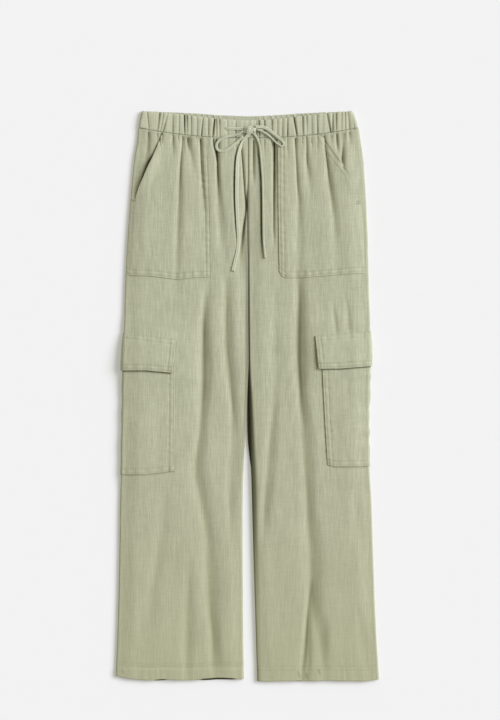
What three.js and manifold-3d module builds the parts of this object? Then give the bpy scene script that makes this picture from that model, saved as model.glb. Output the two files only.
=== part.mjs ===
// Pull-on cargo trousers lying flat on a table, waist towards +Y, seen from +Z.
// Each leg is a flattened cloth tube: a front panel and a back panel meet at the side seam and
// at the inseam. Patch pockets, cargo pockets and flaps are the panels' own surface moved outwards.
// "drop" is the distance down from the waist corners; x is the distance from the centre line.
import * as THREE from "three";
import { mergeVertices } from "three/addons/utils/BufferGeometryUtils.js";
import Module from "manifold-3d";

const wasm = await Module();
wasm.setup();

// Driving sizes
const OUTSEAM = 1027;
const SEAM_GAP = 0.3;
const CLOTH = 1.4;
const HEM_EXTRA = 0.6;
const HEM_DEPTH = 22;
const HEM_RISE_INSEAM = 5;
const HEM_RISE_SIDE = 8.5;
const POCKET_CLOTH = 1.4;
const FLAP_CLOTH = 1.8;
const BAND_CLOTH = 2.7;
const BAND_GATHER = 1.5;
const BETWEEN = 2.4;
const OUTER_ROLL = 3.0;
const INNER_ROLL = 2.2;
const CROTCH_DROP = 300;
const CORD_THICK = 1.7;
const SIDE_SEAM_GAP = 0.4;

// Where the waist seam runs: lower at the centre than at the sides
const WAIST_SEAM_CENTRE = 49;
const WAIST_SEAM_RISE = 18.4;
const WAIST_SEAM_POWER = 2.2;

// Outline of the lying cloth, one row for each level
const OUTLINE = table(["drop", "rightOuter", "rightInner", "leftInner", "leftOuter"], [
  [0, 190.3, -1.2, 1.5, 190.0],
  [31, 195.9, -1.2, 1.5, 200.4],
  [52, 197.7, -1.2, 1.5, 203.7],
  [88, 203.5, -1.2, 1.5, 208.9],
  [160, 210.3, -1.4, 1.7, 213.8],
  [232, 215.6, -1.6, 1.9, 217.0],
  [304, 219.3, -1.7, 2.0, 218.5],
  [376, 221.3, -1.7, 2.2, 221.0],
  [440, 222.8, -1.6, 2.6, 221.0],
  [484, 223.6, -1.0, 3.0, 219.6],
  [560, 225.0, 2.0, 4.6, 218.6],
  [640, 226.6, 6.8, 6.7, 219.6],
  [700, 228.7, 8.2, 8.4, 223.3],
  [790, 230.0, 8.3, 10.8, 226.3],
  [880, 231.8, 7.7, 13.4, 229.6],
  [952, 234.1, 7.2, 15.6, 232.7],
  [1028, 237.3, 6.0, 17.9, 237.5],
]);

// Top edges of the waistband, by share of the half width
const BAND_TOP_FRONT = [[0, 16.6], [0.2, 15.0], [0.4, 10.8], [0.65, 4.9], [1, 0]];
const BAND_TOP_BACK = [[0, 9.5], [0.25, 7.4], [0.5, 4.0], [1, 0]];

// Side seam's place as a share of the front's width, which the back cloth rolls over
const SIDE_SEAM = table(["drop", "right", "left"], [
  [30, 0.994, 0.962],
  [100, 0.994, 0.955],
  [230, 0.994, 0.981],
  [360, 0.994, 0.994],
]);

// How full the front stands over the back, and how it eases off beside the outer and inner folds
const EASE = { outer: { least: 0.32, reach: 30 }, inner: { least: 0.35, reach: 22 }, fold: 1.4, soft: 0.4 };
const INSEAM_CURL = 0.45;
const FULLNESS = [
  [20, 3.4], [60, 4.6], [130, 5.6], [300, 5.0], [420, 5.2], [700, 4.8], [940, 4.2], [1027, 2.0],
];

// Troughs between the front's soft folds, one row each: x is signed, the left leg positive.
// Each fades in and out over a share of its length, and reaches a few widths to either side.
const FOLD_FADE = { share: 0.3, longest: 60, widths: 3 };
const FOLDS = table(["from", "to", "xTop", "xMiddle", "xBottom", "depth", "width"], [
  [10, 122, -176, -176.5, -185, 2.8, 7],
  [10, 84, -132, -132, -133, 2.6, 6],
  [10, 330, -116, -121.4, -127, 4.6, 8],
  [10, 132, -107, -102.5, -91, 3.2, 6.5],
  [10, 205, -86, -78.5, -74.5, 3.8, 7],
  [10, 275, -54.5, -50, -39, 5.2, 8],
  [30, 150, -11, -5.5, -1, 2.6, 6],
  [10, 125, 11.4, 10.8, 9.5, 2.6, 6],
  [150, 290, 1, -6, -16, 4.2, 10],
  [10, 225, 50.6, 49, 48.6, 5.2, 7],
  [10, 330, 84, 95, 92, 4.8, 8.5],
  [10, 125, 105, 110, 112.5, 2.8, 7],
  [10, 320, 135, 152, 165, 5.2, 9.5],
  [10, 90, 150, 158, 164, 2.6, 6],
  [10, 92, 171, 170, 169, 2.6, 6],
  [10, 80, 182, 185, 187, 2.4, 5.5],
  [295, 585, -38, -27, -23, 4.8, 11],
  [520, 735, -23, -29, -26, 3.6, 9],
  [300, 690, -68, -79, -85.5, 4.6, 10],
  [620, 810, -85.5, -82, -73, 4.4, 9],
  [740, 1010, -77, -62, -47, 4.8, 11],
  [715, 930, -152, -155, -178, 2.0, 11],
  [855, 1027, -98, -102, -109, 2.2, 9],
  [295, 620, 95.5, 99, 107.5, 4.8, 12],
  [550, 800, 102, 114, 115, 4.6, 11],
  [740, 1020, 112, 123, 112.5, 4.2, 12],
  [905, 1015, 140, 144, 143, 2.6, 8],
  [480, 730, 55.5, 42, 32, 3.2, 9],
  [660, 790, 195.5, 196.5, 198, 1.8, 10],
  [880, 1015, 196, 206, 217, 1.8, 11],
]);

// Gathers of the elastic waistband, one row each
const GATHERS = table(["xTop", "xBottom", "depth"], [
  [-180, -177, 0.6], [-157, -161.5, 1], [-150.5, -156, 0.8], [-143, -151.5, 0.9], [-134, -134, 0.7],
  [-123, -123, 0.5], [-112.8, -112.8, 1], [-108.4, -108.4, 0.8], [-101, -101, 1], [-90.5, -90.5, 0.7],
  [-79.6, -82.4, 1], [-70, -70, 0.6], [-58.4, -62, 1], [-55, -55.4, 0.7], [-50, -50, 0.9],
  [-36, -35, 0.5], [-20.8, -20.8, 0.8], [17, 17, 0.7], [21, 22, 0.8], [31, 31, 0.8],
  [44.5, 44.5, 1], [54, 54, 0.8], [63, 63, 0.7], [72.3, 72.3, 0.8], [84, 89.5, 1],
  [100, 100, 0.8], [107, 107, 0.8], [115.5, 116.5, 0.6], [125, 127, 1], [143.6, 150.4, 1],
  [154, 154, 0.7], [160, 160, 0.8], [170, 169, 0.5], [176, 176, 0.9], [181, 184, 0.9], [192, 193, 0.6],
]);

// Patch pockets: [drop, x] down the slanted mouth, then [x, drop] round by the side seam, x unsigned
const MOUTH_RIGHT = [[20, 143.5], [99.5, 180.6], [137.7, 198.6], [160, 207]];
const MOUTH_LEFT = [[20, 117], [47, 134.6], [89, 164], [114.3, 183], [160, 199]];
const MOUTH = { top: 40, bottom: 158, gape: 2.6, reach: 11 };
const PATCH_RIGHT = [
  [226, 163], [226, 295.2], [175.1, 297], [124.7, 303.3], [94, 299.7], [64.4, 298.8],
  [66.3, 174.6], [72.5, 20],
];
const PATCH_LEFT = [
  [226, 163], [226, 291.6], [176, 293.4], [149, 296.1], [104, 299.7], [68, 300.2], [60.8, 295.2],
  [58.1, 286.2], [57.1, 232.2], [55.9, 160.2], [55.9, 20],
];

// Cargo pockets and flaps wrap round the side: outline of the front half, x unsigned
const CARGO_TOP = 426;
const CARGO_RIGHT = [[129.6, CARGO_TOP], [240, CARGO_TOP], [240, 654.5], [181.2, 654.3], [131.8, 648]];
const CARGO_LEFT = [
  [133.5, CARGO_TOP], [240, CARGO_TOP], [240, 638.1], [202.4, 639.7], [158.8, 640.1], [144.6, 637.2],
  [140.8, 575.6], [137.1, 509.4],
];
const FLAP_RIGHT = [[128.6, 411.7], [240, 397], [240, 467], [181.2, 466.7], [135.1, 471.4], [129.2, 420.3]];
const FLAP_LEFT = [[122.5, 405], [240, 395.2], [240, 457.5], [168.4, 463.5], [128.6, 464]];
const FLAP_FLARE = { from: 415, over: 50, most: 1.2 };
const LAYER_EDGE = 98;
const LAYER_RAMP = 12;
const POCKET_LAYER = { top: CARGO_TOP, bottom: 656 };
const FLAP_LAYER = { top: 388, bottom: 472 };

// Levels of the rows of cloth points
const TOP_ROWS = steps(WAIST_SEAM_CENTRE, CROTCH_DROP + 8, 12);
const LEG_ROWS = [
  342, 375, 388, 400, 413, 426, 448, 472, 484, 515, 550, 585, 620, 656, 668,
  706, 744, 782, 820, 858, 896, 934, 972, 1003, 1007, 1027,
];
const CARGO_ROWS = LEG_ROWS.filter((level) => level >= 413 && level <= 668);
const FLAP_ROWS = LEG_ROWS.filter((level) => level >= 388 && level <= 484);
const TOP_COLUMNS = 28;
const LEG_COLUMNS = 14;
const FOLD_STATIONS = [1, 1.33, 1.67];
const UNDERSIDE_STATIONS = [2, 2.16, 2.5, 2.57, 2.78, 3, 3.25];
const BACK_SHARES = UNDERSIDE_STATIONS
  .filter((station) => station > 2 && station <= 3)
  .map((station) => 3 - station)
  .reverse();
const INSEAM_STATION = 0.5;
const INSEAM_HALF_GAP = 0.035;
const STATION_STEP = 0.004;
const PATCH_FROM = 0.2;
const WRAP_FROM = 0.48;
const WRAP_TO = 2.56;

// The drawstring lies on the cloth: [x, drop, height], from where each strand leaves the knot
const KNOT = { x: 5, drop: 35.5, height: 13.5, halfLength: 11.5, halfWidth: 7, halfHeight: 4.2 };
const STRANDS = [
  { name: "drawstring_tail_right", width: 6.4, tall: CORD_THICK, steps: 18, route: [
    [1.5, 43.2, 11.8], [-3.6, 49.6, 10.5], [-9.0, 57.5, 9.4], [-13.4, 70, 10.2], [-16.7, 85, 11.1],
    [-18.4, 115, 11.9], [-18.6, 160, 11.9], [-16.9, 200, 11.1], [-15.4, 232, 10.0], [-17.2, 252, 10.2],
    [-21.0, 268, 11.0], [-25.7, 288, 11.6],
  ] },
  { name: "drawstring_tail_left", width: 3.4, tall: 4.2, steps: 16, route: [
    [12.6, 41.4, 11.6], [18.2, 50.5, 11.3], [22.4, 63, 11.9], [25.2, 88, 12.8], [27.8, 125, 13.2],
    [28.6, 160, 13.2], [29, 200, 13.1], [29.6, 232, 13.0], [31.0, 250, 12.9], [32.6, 265, 12.9],
  ] },
  { name: "drawstring_loop_right", width: 4.6, tall: CORD_THICK, steps: 18, route: [
    [-7.6, 36.6, 13.3], [-14.5, 41.2, 11.6], [-27, 44.4, 10.6], [-40, 47.6, 10.7], [-50.5, 53.2, 9.7],
    [-55.2, 61.5, 9.3], [-53.2, 69.4, 9.3], [-46, 72.6, 10.2], [-37.5, 70.6, 11.3], [-26.5, 62.8, 11.2],
    [-16, 54.4, 11.1], [-7.5, 46, 12.6],
  ] },
  { name: "drawstring_loop_left", width: 4.6, tall: CORD_THICK, steps: 18, route: [
    [17.6, 33.6, 13.3], [27, 36.6, 12.6], [36, 42.4, 11.8], [45.5, 50.8, 11.1], [54, 58.8, 11.6],
    [61.2, 63.4, 12.8], [65.8, 61.2, 12.9], [63.4, 54.6, 12.7], [55, 47.4, 11.9], [44, 38.2, 11.5],
    [31, 30.2, 12.3], [14.3, 28.5, 13.4],
  ] },
  { name: "drawstring_lead_right", width: 5.4, tall: CORD_THICK, steps: 4, route: [
    [-41.5, 31.2, 10.1], [-34, 31.6, 10.1], [-20, 31.8, 10.2], [-6.6, 32.6, 10.9],
  ] },
  { name: "drawstring_lead_left", width: 5.4, tall: CORD_THICK, steps: 4, route: [
    [37, 31.4, 10.1], [30, 31.8, 10.1], [23, 32.4, 10.2], [17, 33.2, 10.5],
  ] },
];

const COTTON = new THREE.MeshStandardMaterial({ color: 0xb4b69d, roughness: 0.92, metalness: 0 });
const COTTON_BACK = new THREE.MeshStandardMaterial({ color: 0xa9ab92, roughness: 0.94, metalness: 0 });
const CORD = new THREE.MeshStandardMaterial({ color: 0xbec0a8, roughness: 0.9, metalness: 0 });

const SIDES = { right: -1, left: 1 };

// Small tools for tables and curves
function table(columns, rows) {
  return rows.map((row) => Object.fromEntries(columns.map((name, i) => [name, row[i]])));
}

function steps(first, last, count) {
  return Array.from({ length: count + 1 }, (_, i) => first + ((last - first) * i) / count);
}

function mix(a, b, t) {
  return a + (b - a) * t;
}

function smooth(t) {
  const held = Math.min(Math.max(t, 0), 1);
  return held * held * (3 - 2 * held);
}

// A smooth curve through [at, value] pairs
function follow(pairs, at) {
  const last = pairs.length - 1;
  if (at <= pairs[0][0]) return pairs[0][1];
  if (at >= pairs[last][0]) return pairs[last][1];
  const i = pairs.findIndex((pair) => pair[0] > at) - 1;
  const slope = (k) => {
    const before = pairs[Math.max(k - 1, 0)];
    const after = pairs[Math.min(k + 1, last)];
    return (after[1] - before[1]) / (after[0] - before[0]);
  };
  const span = pairs[i + 1][0] - pairs[i][0];
  const t = (at - pairs[i][0]) / span;
  const rise = pairs[i + 1][1] - pairs[i][1];
  const bend = (1 - t) * (slope(i) * span - rise) - t * (slope(i + 1) * span - rise);
  return pairs[i][1] + t * rise + t * (1 - t) * bend;
}

function column(rows, name) {
  return rows.map((row) => [row.drop, row[name]]);
}

const EDGE = {
  right: { outer: column(OUTLINE, "rightOuter"), inner: column(OUTLINE, "rightInner") },
  left: { outer: column(OUTLINE, "leftOuter"), inner: column(OUTLINE, "leftInner") },
};
const SEAM_SHARE = { right: column(SIDE_SEAM, "right"), left: column(SIDE_SEAM, "left") };

// Levels
function waistSeam(share) {
  return WAIST_SEAM_CENTRE - WAIST_SEAM_RISE * share ** WAIST_SEAM_POWER;
}

function hemRise(share) {
  const inseam = smooth((0.12 - share) / 0.12);
  const side = smooth((share - 0.84) / 0.16) ** 2;
  return HEM_RISE_INSEAM * inseam + HEM_RISE_SIDE * side;
}

function dropOf(level, share) {
  const upper = 1 - smooth((level - WAIST_SEAM_CENTRE) / (CROTCH_DROP - WAIST_SEAM_CENTRE));
  const lower = smooth((level - 940) / (OUTSEAM - 940));
  const gap = (SEAM_GAP / 2) * smooth((WAIST_SEAM_CENTRE + 1 - level) / 1);
  return level + (waistSeam(share) - WAIST_SEAM_CENTRE) * upper - hemRise(share) * lower + gap;
}

// Cloth that lies under a panel and lifts it: cargo pocket and flap on the hidden half
function layerShare(x, drop, layer) {
  const across = smooth((x - LAYER_EDGE) / LAYER_RAMP);
  const down = smooth((drop - layer.top) / LAYER_RAMP + 1);
  return across * down * smooth((layer.bottom - drop) / LAYER_RAMP + 1);
}

function lift(x, drop) {
  const pocket = (POCKET_CLOTH + SEAM_GAP) * layerShare(x, drop, POCKET_LAYER);
  return pocket + (FLAP_CLOTH + SEAM_GAP) * layerShare(x, drop, FLAP_LAYER);
}

function clothThickness(drop) {
  return CLOTH + HEM_EXTRA * smooth((drop - (OUTSEAM - HEM_DEPTH)) / 3 + 1);
}

// Height of the front above the back inside the tube
function foldDepth(x, drop) {
  let depth = 0;
  for (const fold of FOLDS) {
    if (drop <= fold.from || drop >= fold.to) continue;
    const t = (drop - fold.from) / (fold.to - fold.from);
    const bow = 4 * t * (1 - t) * (fold.xMiddle - (fold.xTop + fold.xBottom) / 2);
    const away = (x - mix(fold.xTop, fold.xBottom, t) - bow) / fold.width;
    if (Math.abs(away) > FOLD_FADE.widths) continue;
    const ramp = Math.min(FOLD_FADE.longest, (fold.to - fold.from) * FOLD_FADE.share);
    const fade = smooth((drop - fold.from) / ramp) * smooth((fold.to - drop) / ramp);
    depth += fold.depth * fade * Math.exp(-away * away);
  }
  return depth;
}

function openHeight(side, x, drop, shape) {
  const { outer, inner } = EASE;
  const outerEase = mix(outer.least, 1, smooth((shape.outerCrown - x) / outer.reach));
  const innerEase = mix(inner.least, 1, smooth((x - shape.innerCrown) / inner.reach));
  const full = follow(FULLNESS, drop) * outerEase * innerEase;
  const left = full - foldDepth(SIDES[side] * x, drop) * Math.min(outerEase * EASE.fold, 1);
  return BETWEEN + (left + Math.sqrt(left * left + EASE.soft)) / 2;
}

// One leg's tube. Station 0 to 1 runs over the front, 1 to 2 round the outer fold,
// 2 to 3 back along the underside, and -1 to 0 round the inner fold from underside to front.
function shapeAt(side, drop) {
  const wall = clothThickness(drop);
  const outer = follow(EDGE[side].outer, drop) - wall - OUTER_ROLL;
  const inner = follow(EDGE[side].inner, drop) + wall + INNER_ROLL;
  return { wall, outerCrown: outer, innerCrown: inner };
}

function sectionPoint(side, level, station) {
  const front = station >= -0.5 && station <= 1.5;
  const share = station < 0 ? 0 : station <= 1 ? station : station <= 2 ? 1 : Math.max(3 - station, 0);
  const drop = dropOf(level, share);
  const shape = shapeAt(side, drop);
  const x = mix(shape.innerCrown, shape.outerCrown, share);
  const floor = shape.wall + lift(x, drop);
  const open = openHeight(side, x, drop, shape);
  const wall = shape.wall;
  if (station >= 0 && station <= 1) return { x, drop, z: floor + open, wall, upper: 1 };
  if (station > 1 && station < 2) {
    const angle = (station - 1) * Math.PI;
    const upper = (1 + Math.cos(angle)) / 2;
    return { x: x + OUTER_ROLL * Math.sin(angle), drop, z: floor + open * upper, wall, upper };
  }
  if (station >= 2 && station <= 3) return { x, drop, z: floor, wall, upper: 0 };
  const curl = mix(INSEAM_CURL, 1, smooth((drop - CROTCH_DROP + 20) / 60));
  const angle = (station < 0 ? -station : 4 - station) * Math.PI;
  const out = x - INNER_ROLL * Math.sin(angle);
  const dip = front ? (open / 2) * (1 - Math.cos(angle)) * curl : 0;
  const rise = front ? 0 : (open / 2) * (1 + Math.cos(angle)) * curl;
  return { x: out, drop, z: front ? floor + open - dip : floor + rise, wall, upper: front ? 1 : 0 };
}

// A point of the tube's inner face moved outwards, square to the section
function clothPoint(side, level, station, outwards) {
  const here = sectionPoint(side, level, station);
  const before = sectionPoint(side, level, station - STATION_STEP);
  const after = sectionPoint(side, level, station + STATION_STEP);
  const run = Math.hypot(after.x - before.x, after.z - before.z);
  const nx = -(after.z - before.z) / run;
  const nz = (after.x - before.x) / run;
  const away = outwards(here);
  return [SIDES[side] * (here.x + nx * away), OUTSEAM / 2 - here.drop, here.z + nz * away];
}

// Closed wall between two grids of points, rows of equal or doubled column counts
function wallGeometry(rows) {
  const positions = [];
  const index = [];
  const starts = [];
  let count = 0;
  for (const row of rows) {
    starts.push(count);
    for (const point of row) positions.push(...point.outer, ...point.inner);
    count += row.length;
  }
  const vertex = (r, c, inner) => 2 * (starts[r] + c) + (inner ? 1 : 0);
  const face = (a, b, c) => {
    index.push(vertex(...a, false), vertex(...b, false), vertex(...c, false));
    index.push(vertex(...a, true), vertex(...c, true), vertex(...b, true));
  };
  const rim = (a, b) => {
    index.push(vertex(...a, false), vertex(...b, false), vertex(...a, true));
    index.push(vertex(...b, false), vertex(...b, true), vertex(...a, true));
  };
  for (let r = 0; r + 1 < rows.length; r += 1) {
    const upper = rows[r];
    const lower = rows[r + 1];
    let i = 0;
    let j = 0;
    while (i + 1 < upper.length || j + 1 < lower.length) {
      const upperNext = i + 1 < upper.length ? upper[i + 1].station : Infinity;
      const lowerNext = j + 1 < lower.length ? lower[j + 1].station : Infinity;
      if (upperNext <= lowerNext) {
        face([r, i], [r + 1, j], [r, i + 1]);
        i += 1;
      } else {
        face([r, i], [r + 1, j], [r + 1, j + 1]);
        j += 1;
      }
    }
    rim([r + 1, 0], [r, 0]);
    rim([r, upper.length - 1], [r + 1, lower.length - 1]);
  }
  const last = rows.length - 1;
  for (let c = 0; c + 1 < rows[0].length; c += 1) rim([0, c], [0, c + 1]);
  for (let c = 0; c + 1 < rows[last].length; c += 1) rim([last, c + 1], [last, c]);
  return closedGeometry(positions, index);
}

function closedGeometry(positions, index) {
  let volume = 0;
  const corner = (i) => new THREE.Vector3().fromArray(positions, 3 * i);
  for (let i = 0; i < index.length; i += 3) {
    volume += corner(index[i]).dot(corner(index[i + 1]).cross(corner(index[i + 2])));
  }
  if (volume < 0) {
    for (let i = 0; i < index.length; i += 3) [index[i], index[i + 1]] = [index[i + 1], index[i]];
  }
  const geometry = new THREE.BufferGeometry();
  geometry.setAttribute("position", new THREE.Float32BufferAttribute(positions, 3));
  geometry.setIndex(index);
  geometry.computeVertexNormals();
  return geometry;
}

// Cuts with an upright outline
const CUT_DEPTH = 80;

function asSolid(geometry) {
  const bare = geometry.clone();
  bare.deleteAttribute("normal");
  bare.deleteAttribute("uv");
  const merged = mergeVertices(bare, 1e-4);
  return new wasm.Manifold(new wasm.Mesh({
    numProp: 3,
    vertProperties: new Float32Array(merged.attributes.position.array),
    triVerts: new Uint32Array(merged.index.array),
  }));
}

function cutToOutline(side, geometry, outline) {
  const points = outline.map(([x, drop]) => new THREE.Vector2(SIDES[side] * x, OUTSEAM / 2 - drop));
  const cut = new THREE.Shape(points);
  const prism = new THREE.ExtrudeGeometry(cut, { depth: CUT_DEPTH, bevelEnabled: false });
  prism.translate(0, 0, -CUT_DEPTH / 2);
  const mesh = asSolid(geometry).intersect(asSolid(prism)).getMesh();
  return closedGeometry(Array.from(mesh.vertProperties), Array.from(mesh.triVerts));
}

// Stations of the columns of cloth points, for a panel at one level
function frontStations(side, level, columns) {
  const seam = follow(SEAM_SHARE[side], level);
  return [INSEAM_HALF_GAP - INSEAM_STATION, -0.25, ...steps(0, seam, columns)];
}

function backStations(side, level) {
  const seam = follow(SEAM_SHARE[side], level);
  const width = follow(EDGE[side].outer, level);
  const inseam = 4 - INSEAM_STATION - INSEAM_HALF_GAP;
  return [seam + SIDE_SEAM_GAP / width, ...FOLD_STATIONS, ...UNDERSIDE_STATIONS, inseam];
}

function clothRow(side, level, stations, inner, outer) {
  return stations.map((station) => ({
    station,
    inner: clothPoint(side, level, station, inner),
    outer: clothPoint(side, level, station, outer),
  }));
}

const atLining = () => 0;
const atFace = (here) => here.wall;

function frontPanel(side) {
  const top = TOP_ROWS.map((level) =>
    clothRow(side, level, frontStations(side, level, TOP_COLUMNS), atLining, atFace));
  const leg = LEG_ROWS.map((level) =>
    clothRow(side, level, frontStations(side, level, LEG_COLUMNS), atLining, atFace));
  return wallGeometry([...top, ...leg]);
}

function backPanel(side) {
  const plain = LEG_ROWS.filter((level) => level > 668 && level < 1000);
  const levels = [...TOP_ROWS, ...LEG_ROWS].filter((level) => plain.indexOf(level) % 2 < 1);
  return wallGeometry(levels.map((level) =>
    clothRow(side, level, backStations(side, level), atLining, atFace)));
}

// The patch pocket's free slanted edge stands a little open
function mouthGape(here, mouth) {
  const down = (here.drop - MOUTH.top) / (MOUTH.bottom - MOUTH.top);
  const inwards = (follow(mouth, here.drop) - here.x) / MOUTH.reach;
  if (down <= 0 || down >= 1) return 0;
  return MOUTH.gape * Math.sin(Math.PI * down) * Math.exp(-inwards * inwards);
}

function patchPocket(side, mouth, outline) {
  const under = (here) => here.wall + SEAM_GAP + mouthGape(here, mouth);
  const over = (here) => under(here) + POCKET_CLOTH;
  const rows = TOP_ROWS.map((level) => {
    const stations = frontStations(side, level, TOP_COLUMNS).filter((station) => station > PATCH_FROM);
    return clothRow(side, level, stations, under, over);
  });
  const slant = mouth.map(([drop, x]) => [x, drop]);
  return cutToOutline(side, wallGeometry(rows), [...slant, ...outline]);
}

// Stations of the overlays that wrap from the front round the outer fold to the underside
function wrapStations(side, level) {
  const front = frontStations(side, level, LEG_COLUMNS).filter((station) => station > WRAP_FROM);
  const back = backStations(side, level).filter((station) => station < WRAP_TO);
  return [...front, ...back];
}

function cargoPocket(side, outline) {
  const under = (here) => here.wall + SEAM_GAP;
  const over = (here) => under(here) + POCKET_CLOTH;
  const rows = CARGO_ROWS.map((level) => clothRow(side, level, wrapStations(side, level), under, over));
  return cutToOutline(side, wallGeometry(rows), outline);
}

function cargoFlap(side, outline) {
  const pocket = (here) => (POCKET_CLOTH + SEAM_GAP) * layerShare(here.x, here.drop, POCKET_LAYER);
  const flare = (here) => {
    const reached = smooth((here.drop - FLAP_FLARE.from) / FLAP_FLARE.over);
    return FLAP_FLARE.most * reached * here.upper;
  };
  const under = (here) => here.wall + SEAM_GAP + pocket(here) + flare(here);
  const over = (here) => under(here) + FLAP_CLOTH;
  const rows = FLAP_ROWS.map((level) => clothRow(side, level, wrapStations(side, level), under, over));
  return cutToOutline(side, wallGeometry(rows), outline);
}

// Waistband: an elastic casing, gathered across the front
const BAND_ROUND = 2.6;
const BAND_OPEN = 3.4;
const WIDE_PUFF = 12;
const PUFF_SHOULDER = 2.8;
const BAND_LEVELS = [0, 0.16, 0.84, 1];
const BAND_SWELL = [0.5, 1, 1, 0.7];
const BAND_ARC = [0.12, 0.26, 0.4, 0.485];

function bandColumns() {
  const columns = [];
  GATHERS.forEach((gather, i) => {
    const next = GATHERS[i + 1];
    columns.push({ top: gather.xTop, bottom: gather.xBottom, dip: gather.depth });
    if (!next) return;
    const middle = { top: (gather.xTop + next.xTop) / 2, bottom: (gather.xBottom + next.xBottom) / 2 };
    const wide = next.xTop - gather.xTop > WIDE_PUFF;
    const shoulder = (from, step) => ({ top: from.xTop + step, bottom: from.xBottom + step, dip: 0.1 });
    if (wide) columns.push(shoulder(gather, PUFF_SHOULDER));
    columns.push({ ...middle, dip: wide ? -0.1 : 0.05 });
    if (wide) columns.push(shoulder(next, -PUFF_SHOULDER));
  });
  return columns;
}

function bandEdge(side, drop) {
  return follow(EDGE[side].outer, drop) - BAND_CLOTH - BAND_ROUND;
}

// The band follows the same seam line as the panels below it
function bandDrop(top, share, t) {
  return mix(follow(top, share), waistSeam(share) - SEAM_GAP / 2, t);
}

function seamShare(x) {
  const shape = shapeAt(x < 0 ? "right" : "left", WAIST_SEAM_CENTRE - WAIST_SEAM_RISE);
  return Math.min(Math.max((Math.abs(x) - shape.innerCrown) / (shape.outerCrown - shape.innerCrown), 0), 1);
}

function waistbandFront() {
  const gathers = bandColumns();
  const rows = BAND_LEVELS.map((t, r) => {
    const row = [];
    const addSide = (side, order) => {
      const drop = bandDrop(BAND_TOP_FRONT, 1, t);
      const crown = bandEdge(side, drop);
      const middle = BAND_CLOTH + BAND_OPEN / 2;
      for (const turn of order) {
        const angle = turn * Math.PI;
        const ring = (away) => [
          SIDES[side] * (crown + (BAND_ROUND + away) * Math.sin(angle)),
          OUTSEAM / 2 - drop,
          middle + (BAND_OPEN / 2 + away) * Math.cos(angle),
        ];
        row.push({ station: row.length, inner: ring(0), outer: ring(BAND_CLOTH * BAND_SWELL[r]) });
      }
    };
    addSide("right", [...BAND_ARC].reverse());
    for (const gather of gathers) {
      const x = mix(gather.top, gather.bottom, t);
      const drop = bandDrop(BAND_TOP_FRONT, seamShare(x), t);
      const z = BAND_CLOTH + BAND_OPEN;
      const thick = (BAND_CLOTH - BAND_GATHER * gather.dip) * BAND_SWELL[r];
      row.push({
        station: row.length,
        inner: [x, OUTSEAM / 2 - drop, z],
        outer: [x, OUTSEAM / 2 - drop, z + thick],
      });
    }
    addSide("left", BAND_ARC);
    return row;
  });
  return wallGeometry(rows);
}

function waistbandBack() {
  const rows = [0, 0.5, 1].map((t) => {
    const row = [];
    const add = (x, drop, inner, outer) => row.push({
      station: row.length,
      inner: [x + inner[0], OUTSEAM / 2 - drop, inner[1]],
      outer: [x + outer[0], OUTSEAM / 2 - drop, outer[1]],
    });
    const arc = (side, order) => {
      const drop = bandDrop(BAND_TOP_BACK, 1, t);
      const crown = bandEdge(side, drop);
      for (const turn of order) {
        const angle = (1 - turn) * Math.PI;
        const ring = (away) => [
          SIDES[side] * (BAND_ROUND + away) * Math.sin(angle),
          BAND_CLOTH + BAND_OPEN / 2 + (BAND_OPEN / 2 + away) * Math.cos(angle),
        ];
        add(SIDES[side] * crown, drop, ring(0), ring(BAND_CLOTH));
      }
    };
    arc("right", [...BAND_ARC].reverse());
    const flat = (side, share) => {
      const shape = shapeAt(side, WAIST_SEAM_CENTRE - WAIST_SEAM_RISE);
      const x = mix(shape.innerCrown, Math.min(shape.outerCrown, bandEdge(side, 0)), share);
      add(SIDES[side] * x, bandDrop(BAND_TOP_BACK, share, t), [0, BAND_CLOTH], [0, 0]);
    };
    for (const share of [...BACK_SHARES].reverse()) flat("right", share);
    for (const share of BACK_SHARES) flat("left", share);
    arc("left", BAND_ARC);
    return row;
  });
  return wallGeometry(rows);
}

// Drawstring: a flat cord, its knot and its strands. The left tail is folded and lies on edge.
function strandGeometry({ width, tall, steps: count, route }) {
  const path = new THREE.CatmullRomCurve3(
    route.map(([x, drop, z]) => new THREE.Vector3(x, OUTSEAM / 2 - drop, z)), false, "centripetal");
  const rim = new THREE.EllipseCurve(0, 0, tall / 2, width / 2).getPoints(8).slice(0, 8);
  const section = new THREE.Shape(rim);
  return new THREE.ExtrudeGeometry(section, { steps: count, bevelEnabled: false, extrudePath: path });
}

function knotGeometry() {
  const knot = new THREE.SphereGeometry(1, 14, 9);
  knot.scale(KNOT.halfLength, KNOT.halfWidth, KNOT.halfHeight);
  knot.translate(KNOT.x, OUTSEAM / 2 - KNOT.drop, KNOT.height);
  return knot;
}

function named(name, geometry, material) {
  const mesh = new THREE.Mesh(geometry, material);
  mesh.name = name;
  return mesh;
}

const MOUTHS = { right: MOUTH_RIGHT, left: MOUTH_LEFT };
const PATCHES = { right: PATCH_RIGHT, left: PATCH_LEFT };
const CARGOS = { right: CARGO_RIGHT, left: CARGO_LEFT };
const FLAPS = { right: FLAP_RIGHT, left: FLAP_LEFT };

const trousers = new THREE.Group();
for (const side of ["right", "left"]) {
  const leg = new THREE.Group();
  leg.add(named(`front_panel_${side}`, frontPanel(side), COTTON));
  leg.add(named(`back_panel_${side}`, backPanel(side), COTTON_BACK));
  leg.add(named(`patch_pocket_${side}`, patchPocket(side, MOUTHS[side], PATCHES[side]), COTTON));
  leg.add(named(`cargo_pocket_${side}`, cargoPocket(side, CARGOS[side]), COTTON));
  leg.add(named(`cargo_flap_${side}`, cargoFlap(side, FLAPS[side]), COTTON));
  trousers.add(leg);
}

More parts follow.
